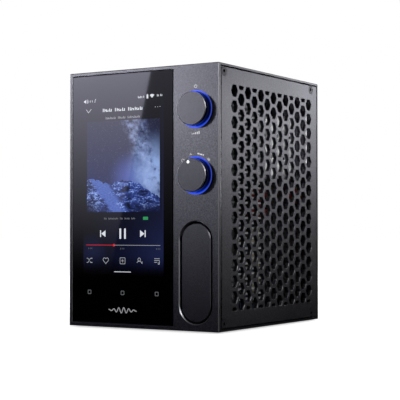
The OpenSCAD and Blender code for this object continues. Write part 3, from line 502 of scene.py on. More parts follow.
def circuit_board(name, mask, axis, copper=(0.5, 0.36, 0.12)):
    """Solder mask over glass fibre, with raised tracks and plated holes; axis is the board's normal."""
    shader = Shader(name, mask, 0.32)
    parts = [p for i, p in enumerate(shader.axes()) if i != axis]
    flat = shader.vector(*parts)
    holes = {"Vector": flat, "Scale": 190.0, "Randomness": 0.85}
    cells = shader.node("ShaderNodeTexVoronoi", holes, distance="CHEBYCHEV")
    lines = {"Vector": flat, "Scale": 150.0, "Mortar Size": 0.09, "Mortar Smooth": 0.1}
    tracks = shader.node("ShaderNodeTexBrick", lines, offset=0.37, squash=0.6)
    raised = shader.times(tracks.outputs["Fac"], shader.span(shader.noise(45, 2.0), 0.45, 0.5))
    lighter = shader.mix(raised, tinted(mask, 0.8), tinted(mask, 2.1))
    pads = shader.math("LESS_THAN", cells.outputs["Distance"], 0.13)
    shader.link(shader.mix(pads, lighter, copper), "Base Color")
    shader.link(shader.times(pads, 0.9), "Metallic")
    shader.link(shader.grain(400, 3.0, 0.26, 0.42), "Roughness")
    shader.bump(raised, 0.00004, 0.8)
    return shader.material


def black_glass(name, colour):
    """Polished glass over a black mask, with a trace of dust and smears."""
    shader = Shader(name, colour, 0.03)
    smear = shader.noise(30, 5.0)
    shader.link(shader.span(smear, 0.35, 0.75, 0.02, 0.05), "Roughness")
    dust = shader.span(shader.noise(5200, 1.0), 0.72, 0.78)
    shader.link(shader.mix(dust, colour, tinted(colour, 3)), "Base Color")
    glassy(shader)
    shader.bump(shader.noise(60, 2.0), 0.000002, 0.2)
    return shader.material


def glassy(shader):
    """Gives a material the gloss of the front glass."""
    shader.set("IOR", 1.5)
    shader.set("Coat Weight", 0.4)
    shader.set("Coat Roughness", 0.02)


def glowing_glass(name, strength=1.0):
    """Black glass that gives light of its own; what it shows is still to be linked."""
    shader = Shader(name, (0.0004, 0.0004, 0.0006), 0.03)
    glassy(shader)
    shader.set("Emission Strength", strength)
    return shader


def lit(name, light, strength=1.0, unevenness=0.08):
    """An even light under the glass."""
    shader = glowing_glass(name, strength)
    spots = shader.grain(2500, 1.0)
    shader.link(shader.mix(spots, tinted(light, 1 - unevenness), light), "Emission Color")
    return shader.material


def glowing_ring(name, light, middle, inner, outer):
    """Light guide that is brightest at its outer rim and cooler towards the knob."""
    shader = Shader(name, tinted(light, 0.06), 0.25)
    x, y, z = shader.axes()
    dx, dz = shader.minus(x, middle.x), shader.minus(z, middle.z)
    r = shader.distance(dx, dz)
    across = shader.span(r, inner, outer)
    hot = shader.span(shader.absolute(shader.minus(across, 0.78)), 0.14, 0.03, smooth=True)
    grain = shader.grain(1800, 2.0, 0.85, 1.0)
    level = shader.span(shader.absolute(shader.math("DIVIDE", dz, r)), 0.5, 1.0, 0.14, 0.85)
    glow = shader.mix(level, (0.0, 0.0, 0.0), light)
    tone = shader.mix(hot, glow, tuple(c * 0.7 + 0.09 for c in light))
    shader.link(shader.mix(grain, (0.0, 0.0, 0.02), tone), "Emission Color")
    shader.set("Emission Strength", 1.0)
    shader.set("Coat Weight", 0.5)
    shader.set("Coat Roughness", 0.1)
    shader.bump(shader.noise(900, 2.0), 0.00002, 0.3)
    return shader.material


# Colours of the night picture
LOW_SKY, HIGH_SKY, VIOLET = (0.014, 0.02, 0.085), (0.005, 0.007, 0.028), (0.1, 0.14, 0.5)
PALE_BLUE, STAR_CLOUD, DARK_RIFT = (0.3, 0.44, 0.8), (0.34, 0.44, 0.78), (0.035, 0.05, 0.15)
STAR_WHITE, DARK_ROCK, BLUE_ROCK = (0.8, 0.86, 1.0), (0.004, 0.007, 0.022), (0.035, 0.07, 0.34)
SNOW, SHADED_SNOW, SOFT_SNOW = (0.32, 0.47, 0.92), (0.04, 0.08, 0.34), (0.12, 0.2, 0.58)
DEEP_SHADE = (0.004, 0.006, 0.03)


def night_picture(name, low, high):
    """Generic picture of a night sky over snowy mountains; low and high are its corners in metres."""
    shader = glowing_glass(name)
    x, y, z = shader.axes()
    u = shader.span(x, low[0], high[0])
    v = shader.span(z, low[1], high[1])
    flat = shader.vector(u, v)
    below = mountain_mask(shader, u, v)
    picture = shader.mix(below, night_sky(shader, u, v, flat), snowy_rock(shader, u, v, flat))
    shader.link(picture, "Emission Color")
    return shader.material


def blob(shader, u, v, at, reach):
    """1 at a point of the picture, fading smoothly to 0 at the reach, which is given across and up."""
    du = shader.math("DIVIDE", shader.minus(u, at[0]), reach[0])
    dv = shader.math("DIVIDE", shader.minus(v, at[1]), reach[1])
    return shader.span(shader.distance(du, dv), 1.0, 0.0, smooth=True)


def night_sky(shader, u, v, flat):
    """Dark at the upper left, violet low in the middle and pale blue on the right, with stars."""
    sky = shader.mix(shader.span(v, 0.3, 1.0), LOW_SKY, HIGH_SKY)
    low_glow = shader.times(blob(shader, u, v, (0.62, 0.36), (0.36, 0.34)), 0.7)
    sky = shader.mix(low_glow, sky, VIOLET)
    veil = shader.noise(5.0, 6.0, flat, roughness=0.6)
    pale = blob(shader, u, v, (0.92, 0.42), (0.42, 0.5))
    pale = shader.times(pale, shader.span(veil, 0.25, 0.6, 0.55, 1.0))
    sky = shader.mix(pale, sky, PALE_BLUE)
    # A pale band of star cloud from the top to the lower right, with a dark rift along it
    lean = shader.times(shader.minus(1.0, v), 0.3)
    across = shader.minus(shader.minus(u, 0.66), lean)
    across = shader.plus(across, shader.times(shader.minus(veil, 0.5), 0.5))
    band = shader.span(shader.absolute(across), 0.2, 0.0, smooth=True)
    cloud = shader.span(shader.noise(12.0, 8.0, flat, roughness=0.7), 0.4, 0.7)
    sky = shader.mix(shader.times(band, cloud), sky, STAR_CLOUD)
    rift = shader.span(shader.absolute(shader.minus(across, 0.1)), 0.1, 0.0, smooth=True)
    murk = shader.span(shader.noise(16.0, 6.0, flat), 0.42, 0.62, 0.0, 0.8)
    sky = shader.mix(shader.times(rift, murk), sky, DARK_RIFT)
    for cells, size, most in ((46.0, 0.12, 0.8), (95.0, 0.2, 0.5)):
        stars = shader.node("ShaderNodeTexVoronoi", {"Vector": flat, "Scale": cells})
        dot = shader.span(stars.outputs["Distance"], size, 0.0)
        shine = shader.span(shader.axes(stars.outputs["Color"])[0], 0.3, 1.0, 0.0, most)
        sky = shader.mix(shader.times(dot, shine), sky, STAR_WHITE)
    return sky


def mountain_mask(shader, u, v):
    """1 below a rough skyline that falls towards the right."""
    curve = shader.node("ShaderNodeFloatCurve", {"Value": u})
    line = curve.mapping.curves[0]
    line.points[0].location = (0.0, 0.37)
    line.points[1].location = (1.0, 0.15)
    for place in ((0.15, 0.35), (0.32, 0.31), (0.5, 0.34), (0.72, 0.3), (0.87, 0.22)):
        line.points.new(*place)
    curve.mapping.update()
    jag = shader.noise(16.0, 5.0, shader.vector(u, 1.7), roughness=0.65)
    skyline = shader.plus(curve.outputs[0], shader.span(jag, 0.2, 0.8, -0.035, 0.035))
    return shader.math("GREATER_THAN", skyline, v)


def snowy_rock(shader, u, v, flat):
    """Dark rock with snow in its cracks, and a smooth snow slope that runs down from the left."""
    slant = {"Vector": flat, "Rotation": (0, 0, 0.75), "Scale": (1.0, 2.4, 1.0)}
    slanted = shader.node("ShaderNodeMapping", slant)
    slope = shader.noise(7.0, 9.0, slanted.outputs[0], roughness=0.66, distortion=0.8)
    fine = shader.noise(34.0, 7.0, slanted.outputs[0], roughness=0.72)
    rock = shader.mix(shader.span(slope, 0.35, 0.62, smooth=True), DARK_ROCK, BLUE_ROCK)
    patches = shader.times(slope, fine)
    left = shader.span(u, 0.35, 0.0, 0.0, 0.045)
    snow = shader.span(shader.plus(patches, left), 0.28, 0.34)
    rock = shader.mix(snow, rock, SNOW)
    middle = shader.math("MULTIPLY_ADD", shader.minus(0.36, v), 0.85, 0.14)
    ragged = shader.plus(shader.minus(u, middle), shader.times(shader.minus(slope, 0.5), 0.3))
    field = shader.span(shader.absolute(ragged), 0.14, 0.06, smooth=True)
    soft = shader.mix(shader.spread(fine), SHADED_SNOW, SOFT_SNOW)
    rock = shader.mix(field, rock, soft)
    corner = blob(shader, u, v, (0.0, 0.0), (0.3, 0.2))
    foot = shader.times(shader.span(u, 0.55, 0.75), shader.span(v, 0.16, 0.0))
    return shader.mix(shader.math("MAXIMUM", corner, foot), rock, DEEP_SHADE)


def screen_glow(name, low, high):
    """Backlight of the dark screen: almost black, with a blue bloom low on the right."""
    shader = glowing_glass(name)
    x, y, z = shader.axes()
    across, up = shader.span(x, low[0], high[0]), shader.span(z, low[1], high[1])
    down = shader.span(z, low[1] + 0.65 * (high[1] - low[1]), low[1], smooth=True)
    foot = shader.span(z, low[1], low[1] + 14 * MM, smooth=True)
    bloom = shader.times(shader.times(shader.span(across, 0.1, 1.0), down), foot)
    rim = shader.times(shader.span(across, 0.94, 1.0), shader.span(z, low[1], high[1], 0.9, 0.0))
    left = blob(shader, across, up, (0.12, 0.11), (0.32, 0.14))
    left = shader.times(shader.times(left, foot), 0.7)
    cloud = shader.grain(35, 3.0, 0.6, 1.0)
    light = shader.times(shader.math("MAXIMUM", bloom, left), cloud)
    light = shader.math("MAXIMUM", light, shader.times(rim, foot))
    shader.link(shader.mix(light, (0.0005, 0.0005, 0.001), (0.012, 0.017, 0.066)), "Emission Color")
    return shader.material


# Depth of the layer that counts as the rearmost face of a connector
REAR_SKIN = 0.3 * MM


def tinned_shell(name, rear):
    """Tinted steel where it shows at the panel; deeper in all is near black and dull, which is the dark
    plastic in its mouths and also painted shade on the steel walls inside them.
    """
    shader = Shader(name, (0.5, 0.51, 0.53), 0.34)
    x, y, z = shader.axes()
    # Behind a thin skin at the panel all is near black and not metallic: the real plastic inserts, and
    # painted shade on the inner steel walls of the mouths.
    plastic_and_painted_shade = shader.math("LESS_THAN", y, rear - REAR_SKIN)
    grain = shader.grain(2600, 3.0)
    steel = shader.mix(grain, (0.26, 0.265, 0.28), (0.36, 0.365, 0.38))
    shader.link(shader.mix(plastic_and_painted_shade, steel, (0.012, 0.012, 0.013)), "Base Color")
    shader.link(shader.minus(1.0, plastic_and_painted_shade), "Metallic")
    shader.link(shader.span(grain, 0, 1, 0.34, 0.44), "Roughness")
    shader.bump(grain, 0.00001, 0.4)
    return shader.material


def gold_sockets(name, mouths):
    """Gold-plated barrels with a white or red insulator in each mouth."""
    shader = Shader(name, (0.7, 0.5, 0.2), 0.3)
    x, y, z = shader.axes()
    grain = shader.grain(2600, 3.0)
    tone = shader.mix(grain, (0.5, 0.34, 0.12), (0.66, 0.46, 0.18))
    metal = 1.0
    for i, mouth in enumerate(mouths):
        r = shader.distance(shader.minus(x, mouth.x), shader.minus(z, mouth.z))
        inside = shader.math("LESS_THAN", r, 3.35 * MM)
        tone = shader.mix(inside, tone, (0.3, 0.012, 0.012) if i % 2 else (0.34, 0.34, 0.33))
        metal = shader.times(metal, shader.minus(1.0, inside))
    shader.link(tone, "Base Color")
    shader.link(metal, "Metallic")
    shader.link(shader.span(grain, 0, 1, 0.26, 0.36), "Roughness")
    shader.bump(grain, 0.00001, 0.4)
    return shader.material


def middle(values):
    return (min(values) + max(values)) / 2


def mouth_centres(node, apart=3 * MM):
    """Centres of the round mouths on the rearmost face of a node, from low to high and left to right."""
    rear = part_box(node)[1].y - REAR_SKIN
    groups = []
    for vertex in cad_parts[node].data.vertices:
        if vertex.co.y < rear:
            continue
        near = [group for group in groups if any((at - vertex.co).length < apart for at in group)]
        groups = [group for group in groups if group not in near]
        groups.append(sum(near, [vertex.co.copy()]))
    centres = []
    for group in groups:
        centres.append(Vector((middle([v.x for v in group]), rear, middle([v.z for v in group]))))
    return sorted(centres, key=lambda v: (round(v.z, 3), v.x))


# ---------- Screen icons, in millimetres about their own centre ----------


# Width of most lines of the icons and the marks
LINE = 0.26


def box_line(x, z, size, r, hole, hole_r):
    """Square outline with round corners, and the square hole in it."""
    return pill(x, z, size, size, r) + [pill(x, z, hole, hole, hole_r)[0][::-1]]


def speaker_icon():
    horn = [(-1.5, -0.5), (-0.8, -0.5), (0.1, -1.3), (0.1, 1.3), (-0.8, 0.5), (-1.5, 0.5)]
    return [[horn], bent_band(0.1, 0, 1.1, 0.3, -50, 50), bent_band(0.1, 0, 1.8, 0.3, -50, 50)]


def battery_icon():
    return [pill(0, -0.1, 1.3, 2.4, 0.25), pill(0, 1.3, 0.6, 0.3, 0.1)]


def wireless_icon():
    return [[[(0, -1.1)] + arc(0, -1.1, 2.4, 45, 135, 10)]]


def chevron_icon():
    return [ribbon([(-2.0, 1.1), (0, -1.1), (2.0, 1.1)], LINE)]


def dots_icon():
    return [disc(x, 0, 0.2, 12) for x in (-1.7, 0, 1.7)]


def back_icon():
    return [[[(2.0, -2.1), (2.0, 2.1), (-1.2, 0)]], pill(-1.75, 0, 0.75, 4.2, 0.2)]


def forward_icon():
    return moved(back_icon(), turn=180)


def pause_icon():
    return [pill(x, 0, 1.3, 6.4, 0.35) for x in (-1.75, 1.75)]


def shuffle_icon():
    rise = [(-2.1, -1.3), (-1.1, -1.3), (0.9, 1.3), (1.9, 1.3)]
    fall = [(-2.1, 1.3), (-1.1, 1.3), (-0.4, 0.4)]
    rest = [(0.4, -0.5), (0.9, -1.3), (1.9, -1.3)]
    heads = [[[(1.8, h - 0.5), (2.4, h), (1.8, h + 0.5)]] for h in (-1.3, 1.3)]
    return [ribbon(path, LINE) for path in (rise, fall, rest)] + heads


def heart_icon():
    points = []
    for i in range(36):
        t = 2 * math.pi * i / 36
        x = 16 * math.sin(t) ** 3
        z = 13 * math.cos(t) - 5 * math.cos(2 * t) - 2 * math.cos(3 * t) - math.cos(4 * t)
        points.append((x * 0.13, z * 0.13 + 0.15))
    return [ribbon(points, 0.27, closed=True)]


def plus_box_icon():
    bars = [pill(0, 0, 2.0, LINE), pill(0, 0.6, LINE, 0.8), pill(0, -0.6, LINE, 0.8)]
    return [box_line(0, 0, 4.0, 0.6, 3.5, 0.4)] + bars


def listener_icon():
    person = [ring(-0.3, 0.9, 1.1, LINE, 20), bent_band(-0.3, -2.2, 2.2, LINE, 35, 145)]
    return person + [pill(1.7, -0.6, 1.4, LINE), pill(1.7, -1.4, 0.9, LINE)]


def list_icon():
    bars = [pill(0, z, 4.0, LINE) for z in (1.6, 0.5)]
    return bars + [pill(-0.9, -0.6, 2.2, LINE), ring(1.3, -1.4, 0.6, 0.24, 16), pill(1.8, -0.5, 0.24, 1.6)]


def words(x, z, height, lengths, gap):
    """Rows of short upright strokes where a line of words would stand, centred on x."""
    total = sum(lengths) + gap * (len(lengths) - 1)
    pitch, stroke = height * 0.62, height * 0.27
    shapes, left = [], x - total / 2
    for size in lengths:
        count = max(1, round(size / pitch))
        for i in range(count):
            tall = height * (1.0 if i == 0 else 0.62 + 0.16 * ((5 * i + count) % 3))
            base = z - (height - tall) / 2
            shapes.append(pill(left + (i + 0.5) * size / count, base, stroke, tall, stroke * 0.3, 2))
        for i in range(count - 1):
            if (i + count) % 3 == 0:
                continue
            low = z - height / 2 + (0.5 * height if (i + count) % 2 else 0.14 * height)
            joint = left + (i + 1) * size / count
            shapes.append(pill(joint, low, size / count, height * 0.16, height * 0.05, 2))
        left += size + gap
    return shapes


# ---------- Marks printed on the metal ----------


def power_mark():
    return [bent_band(0, 0, 1.05, 0.28, 120, 420, 24), pill(0, 0.75, 0.28, 1.1)]


def level_mark():
    """A wedge of bars that grow to the right."""
    return [pill(-2.4 + 1.2 * i, -0.75 + 0.15 * i, 0.6, 0.5 + 0.3 * i, 0.1) for i in range(5)]


def headphone_mark():
    cups = [pill(x, -0.65, 0.55, 1.1, 0.15) for x in (-1.05, 1.05)]
    return [bent_band(0, -0.2, 1.25, LINE, 0, 180)] + cups


def one_line_mark():
    return [pill(0, 0, 2.0, 0.3), pill(0, 0.75, 0.3, 1.0)]


def two_line_mark():
    return [pill(-1.6, 0, 1.8, 0.9, 0.2), pill(0.7, 0, 1.8, 0.9, 0.2), pill(2.5, 0, 0.9, 0.9, 0.2)]


def both_mark():
    return [ring(-0.45, 0, 0.75, 0.24, 20), ring(0.45, 0, 0.75, 0.24, 20)]


def wave_mark():
    """One line of a decaying sound wave."""
    points = [(x / 4, 1.7 * math.sin(x * 0.42) * math.exp(-(x / 30) ** 2)) for x in range(-42, 43)]
    return [ribbon(points, 0.55)]


# ---------- Side panels ----------


# A hole cut off lower than this at the top or the foot of a panel is left out
LOWEST_HOLE = 1.2 * MM
# Gap round the head of a screw
SCREW_GAP = 0.06 * MM


def clipped(points, low, high):
    """The part of a convex outline between two heights."""
    for limit, sign in ((low, 1), (high, -1)):
        kept = []
        for i, p in enumerate(points):
            q = points[(i + 1) % len(points)]
            inside_p, inside_q = (p[1] - limit) * sign >= 0, (q[1] - limit) * sign >= 0
            if inside_p:
                kept.append(p)
            if inside_p != inside_q:
                t = (limit - p[1]) / (q[1] - p[1])
                kept.append((p[0] + t * (q[0] - p[0]), limit))
        points = kept
    return points


def rounded_corners(points, radius, steps=4):
    """The outline with its corners replaced by short curves."""
    result = []
    count = len(points)
    for i in range(count):
        here = Vector(points[i])
        before, after = Vector(points[i - 1]) - here, Vector(points[(i + 1) % count]) - here
        reach = min(radius / math.tan(before.angle(after) / 2), 0.45 * before.length, 0.45 * after.length)
        start, end = here + before.normalized() * reach, here + after.normalized() * reach
        for k in range(steps + 1):
            t = k / steps
            result.append(tuple(start.lerp(here, t).lerp(here.lerp(end, t), t)))
    return result


def vent_holes(panel_low, panel_high):
    """Outlines of the hexagonal holes as (y, z) in metres; every second column is half a step lower."""
    size = sizes()
    flats, pitch = size.vent_flats, size.vent_pitch
    corner = flats / math.sqrt(3)
    column_pitch = pitch * math.sqrt(3) / 2
    front, rear = FACE_Y + size.vent_front, BACK_Y - size.vent_rear
    base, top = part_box("main_frame")[0].z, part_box("main_frame")[1].z
    low, high = base + size.vent_margin, top - size.vent_margin
    columns = int((rear - front - 2 * corner) / column_pitch) + 1
    rows = math.ceil((high - low) / pitch) + 1
    holes = []
    for c in range(columns):
        for r in range(rows + 1):
            y = front + corner + c * column_pitch
            z = high - flats / 2 + (c % 2) * pitch / 2 - r * pitch
            hexagon = clipped(circle(y, z, corner, 6), low, high)
            heights = [p[1] for p in hexagon]
            if len(hexagon) > 3 and max(heights) - min(heights) > LOWEST_HOLE:
                holes.append(rounded_corners(hexagon, size.vent_round))
    return holes


def screw_holes(side):
    """Centres (y, z) of the side screws and the radius of the holes for their heads."""
    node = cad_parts["side_panel_screws"]
    head_skin = 0.2 * MM
    head_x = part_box("side_panel_screws")[1].x - head_skin
    outer = [v.co for v in node.data.vertices if v.co.x * side > head_x]
    middle_y = sum(v.y for v in outer) / len(outer)
    middle_z = sum(v.z for v in outer) / len(outer)
    places = []
    for front in (True, False):
        for lower in (True, False):
            group = [v for v in outer if (v.y < middle_y) == front and (v.z < middle_z) == lower]
            ys, zs = [v.y for v in group], [v.z for v in group]
            places.append((middle(ys), middle(zs), (max(ys) - min(ys)) / 2))
    return places


def vented_panel(name, node, side, body, *materials):
    """Side panel with round-cornered, chamfered hexagonal holes and a wide chamfer round the outside."""
    low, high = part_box(node)
    size = sizes()
    outer_x = high.x if side > 0 else low.x
    thickness = high.x - low.x
    rim = size.hole_chamfer
    loops = [[(low.y, low.z), (high.y, low.z), (high.y, high.z), (low.y, high.z)]]
    loops += vent_holes(low, high)
    loops += [circle(y, z, r + SCREW_GAP, 40) for y, z, r in screw_holes(side)]
    curve = bpy.data.curves.new(name, "CURVE")
    curve.dimensions = "2D"
    curve.fill_mode = "BOTH"
    curve.extrude = thickness / 2 - rim
    curve.bevel_depth = rim
    curve.bevel_resolution = 0
    curve.offset = -rim
    for loop in loops:
        spline = curve.splines.new("POLY")
        spline.points.add(len(loop) - 1)
        for point, (y, z) in zip(spline.points, loop):
            point.co = (y, z, 0, 1)
        spline.use_cyclic_u = True
    drawn = link(name + "_outline", curve)
    mesh = bpy.data.meshes.new_from_object(drawn.evaluated_get(bpy.context.evaluated_depsgraph_get()))
    bpy.data.objects.remove(drawn)
    mid_x = outer_x - side * thickness / 2
    mesh.transform(Matrix(((0, 0, 1, mid_x), (1, 0, 0, 0), (0, 1, 0, 0), (0, 0, 0, 1))))
    chamfer = size.panel_chamfer
    edge = rim + 0.1 * MM
    for vertex in mesh.vertices:
        at = vertex.co
        limits = ((at.y, low.y), (at.y, high.y), (at.z, low.z), (at.z, high.z))
        near = [abs(value - limit) < edge for value, limit in limits]
        if any(near) and (at.x - mid_x) * side > 0:
            if abs(at.x - outer_x) < rim / 2:
                # The curve's own bevel has already taken the rim off the outline
                at.y += (chamfer - rim) * (near[0] - near[1])
                at.z += (chamfer - rim) * (near[2] - near[3])
            else:
                at.x = outer_x - side * chamfer
    obj = link(name, mesh)
    weld(obj)
    dress(obj, body, "panel_metal", *materials)
    for polygon in obj.data.polygons:
        tilt = abs(polygon.normal.x)
        polygon.material_index = 1 if 0.2 < tilt < FACING else 0
    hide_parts(node)
    return obj


# ---------- Operators ----------


# Where the camera stands in metres, and which way it looks from, in degrees
CAMERA_PLACE = (0.42167, -0.68567, 0.06073)
CAMERA_AZIMUTH, CAMERA_ELEVATION = 31.57, -1.42

# Solder mask of the green boards
BOARD_GREEN = (0.012, 0.06, 0.035)

# Heights of the rows on the screen, and the steps between buttons and between menu icons, in millimetres
STATUS_ROW, TITLE_ROW, SUBTITLE_ROW, TRACK_ROW = 142.4, 135.5, 130.5, 68.1
BUTTON_ROW, PROGRESS_ROW, DIGITS_ROW, MENU_ROW, KEY_ROW = 58.7, 51.6, 49.5, 42.0, 22.3
BUTTON_STEP, MENU_STEP = 15, 12.7


def print_ink(name):
    return moulded_plastic(name, tuple(colours().print_ink), 0.5, 4000, 0.000005, 0.08)


class PLAYER_OT_stage(bpy.types.Operator):
    """Make the floor, the lights and the camera"""

    bl_idname = "player.stage"
    bl_label = "Stage"

    def execute(self, context):
        setting = studio()
        self.make_floor(setting)
        self.make_world(context)
        self.make_lights(setting)
        self.make_camera(context, setting)
        context.scene.view_settings.view_transform = "Standard"
        return {"FINISHED"}

    def make_floor(self, setting):
        reach = 6.0
        corners = [(-reach, -reach, 0), (reach, -reach, 0), (reach, reach, 0), (-reach, reach, 0)]
        floor = mesh_object("floor", corners, [(0, 1, 2, 3)])
        shader = Shader("floor_paint", tuple(setting.floor), 0.6)
        tone = shader.noise(3.0, 3.0)
        shader.link(shader.mix(tone, tinted(setting.floor, 0.99), setting.floor), "Base Color")
        shader.set("Specular IOR Level", 0.0)
        shader.set("Emission Color", (1, 1, 1, 1))
        shader.set("Emission Strength", setting.floor_glow)
        floor.data.materials.append(shader.material)
        floor.visible_glossy = False

    def make_world(self, context):
        """White behind the object, and a darker room that fades downwards in its reflections."""
        world = bpy.data.worlds.new("studio")
        context.scene.world = world
        world.use_nodes = True
        tree = world.node_tree
        tree.nodes.clear()
        place = add_node(tree, "ShaderNodeTexCoord").outputs["Generated"]
        height = add_node(tree, "ShaderNodeSeparateXYZ", {0: place}).outputs["Z"]
        fade = {"Value": height, "From Min": -0.15, "From Max": 0.7, "To Min": 0.0, "To Max": 0.05}
        faint = add_node(tree, "ShaderNodeMapRange", fade).outputs[0]
        room = add_node(tree, "ShaderNodeBackground", {"Strength": faint}).outputs[0]
        plain = add_node(tree, "ShaderNodeBackground", {"Strength": 1.0, "Color": (1, 1, 1, 1)}).outputs[0]
        path = add_node(tree, "ShaderNodeLightPath").outputs
        rays = {0: path["Is Camera Ray"], 1: path["Is Diffuse Ray"]}
        direct = add_node(tree, "ShaderNodeMath", rays, operation="MAXIMUM").outputs[0]
        choose = add_node(tree, "ShaderNodeMixShader", {0: direct, 1: room, 2: plain}).outputs[0]
        add_node(tree, "ShaderNodeOutputWorld", {"Surface": choose})

    def aim(self, name, data, place, target, energy):
        data.energy = energy
        lamp = link(name, data)
        lamp.location = place
        lamp.rotation_euler = (Vector(target) - Vector(place)).to_track_quat("-Z", "Y").to_euler()
        lamp.visible_camera = False

    def area_light(self, name, place, target, width, height, energy):
        data = bpy.data.lights.new(name, "AREA")
        data.shape = "RECTANGLE"
        data.size = width
        data.size_y = height
        self.aim(name, data, place, target, energy)

    def spot_light(self, name, place, target, radius, cone, energy):
        """Soft spot whose light fades from the target to the rim of its cone, in degrees."""
        data = bpy.data.lights.new(name, "SPOT")
        data.shadow_soft_size = radius
        data.spot_size = math.radians(cone)
        data.spot_blend = 1.0
        self.aim(name, data, place, target, energy)

    def make_lights(self, setting):
        top = CAD_HIGH.z
        back, beside = setting.back_power, setting.back_power * 0.6
        right, left = CAD_HIGH.x, CAD_LOW.x
        self.spot_light("key", (-0.52, -0.68, 0.3), (0.02, FACE_Y, top), 0.033, 19.5, setting.key_power)
        self.spot_light("side", (0.44, 0.76, 0.24), (right, 0.025, 0.14), 0.06, 24, setting.side_power)
        self.area_light("fill", (0.8, -0.42, 0.55), (right, 0, top * 0.7), 0.3, 0.3, setting.fill_power)
        self.area_light("rear", (0, 0.95, 0.2), (0, CAD_HIGH.y, top / 2), 0.09, 0.4, back)
        self.area_light("left", (-0.95, 0.02, 0.2), (left, 0.02, top / 2), 0.09, 0.4, beside)
        self.area_light("above", (0, 0.12, 0.9), (0, 0.12, top), 0.09, 0.2, beside)
        # A bright card and a dim one share a slanting edge, which the glass mirrors
        foot, head = -0.1, 0.45
        far_left, far_right = -0.75, -0.25
        edge_foot, edge_head = -0.648, -0.512
        bright = ((far_left, foot), (edge_foot, foot), (edge_head, head), (far_left, head))
        dim = ((edge_foot, foot), (far_right, foot), (far_right, head), (edge_head, head))
        self.card("bright_card", bright, setting.card_light)
        self.card("dim_card", dim, setting.card_light * 0.16)

    def card(self, name, corners, light):
        """Upright card to the front left that fades downwards; the corners are (x, z) in metres."""
        shader = Shader(name + "_light", (0, 0, 0), 1.0)
        x, y, z = shader.axes()
        fade = shader.math("POWER", shader.span(z, -0.01, 0.284), 1.7)
        shader.link(shader.mix(fade, (0, 0, 0), (0.9, 0.89, 1.12)), "Emission Color")
        shader.set("Emission Strength", light)
        shader.set("Specular IOR Level", 0.0)
        card = mesh_object(name, [(across, -0.9, up) for across, up in corners], [(0, 1, 2, 3)])
        card.data.materials.append(shader.material)
        card.visible_camera = False
        card.visible_diffuse = False

    def make_camera(self, context, setting):
        data = bpy.data.cameras.new("camera")
        data.lens = setting.lens
        data.sensor_width = 36.0
        data.clip_start = 0.01
        camera = link("camera", data)
        azimuth, elevation = math.radians(CAMERA_AZIMUTH), math.radians(CAMERA_ELEVATION)
        flat = math.cos(elevation)
        away = Vector((math.sin(azimuth) * flat, -math.cos(azimuth) * flat, math.sin(elevation)))
        camera.location = CAMERA_PLACE
        camera.rotation_euler = (-away).to_track_quat("-Z", "Y").to_euler()
        context.scene.camera = camera


class PLAYER_OT_enclosure(bpy.types.Operator):
    """Finish the metal enclosure, its rear panel, screws and feet"""

    bl_idname = "player.enclosure"
    bl_label = "Enclosure"

    def execute(self, context):
        tone = colours()
        metal, cut = tuple(tone.metal), tuple(tone.cut_metal)
        low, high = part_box("socket_cover")
        reach = Vector((2.5, 2.0, 2.5)) * MM
        recess = (low - reach, high + reach)
        bright = {"cut": cut, "rim": tuple(tone.recess_rim), "rim_box": recess}
        coat(blasted_metal("anodised_case", metal, **bright), "main_frame")
        coat(blasted_metal("anodised_rear", tinted(metal, 0.85), 0.46, cut=tinted(cut, 0.5)), "rear_panel")
        coat(rolled_metal("black_screw", (0.05, 0.05, 0.055), 0.32, along=1), "case_screws")
        coat(blasted_metal("anodised_screw", tinted(metal, 0.8), 0.5, 0.2), "side_panel_screws")
        coat(moulded_plastic("foot_rubber", (0.016, 0.016, 0.017), 0.8, 900, 0.0001, 0.3), "rubber_feet")
        steel = rolled_metal("sheet_steel", (0.24, 0.245, 0.25), 0.42, along=2)
        coat(steel, "chassis_plate", "display_backplate")
        coat(rolled_metal("zinc_screw", (0.6, 0.6, 0.58), 0.28), "board_screws")
        coat(rolled_metal("turned_brass", (0.62, 0.44, 0.16), 0.3), "board_standoffs")
        return {"FINISHED"}


class PLAYER_OT_side_panels(bpy.types.Operator):
    """Make both vented side panels"""

    bl_idname = "player.side_panels"
    bl_label = "Side panels"

    def execute(self, context):
        tone = colours()
        metal = blasted_metal("anodised_side", tinted(tone.metal, 1.1), 0.44)
        cut = cut_metal("panel_edge", tinted(tone.cut_metal, 0.8), 0.3)
        vented_panel("right_vent_panel", "right_side_panel", 1, MAIN_BODY, metal, cut)
        vented_panel("left_vent_panel", "left_side_panel", -1, MAIN_BODY, metal, cut)
        return {"FINISHED"}


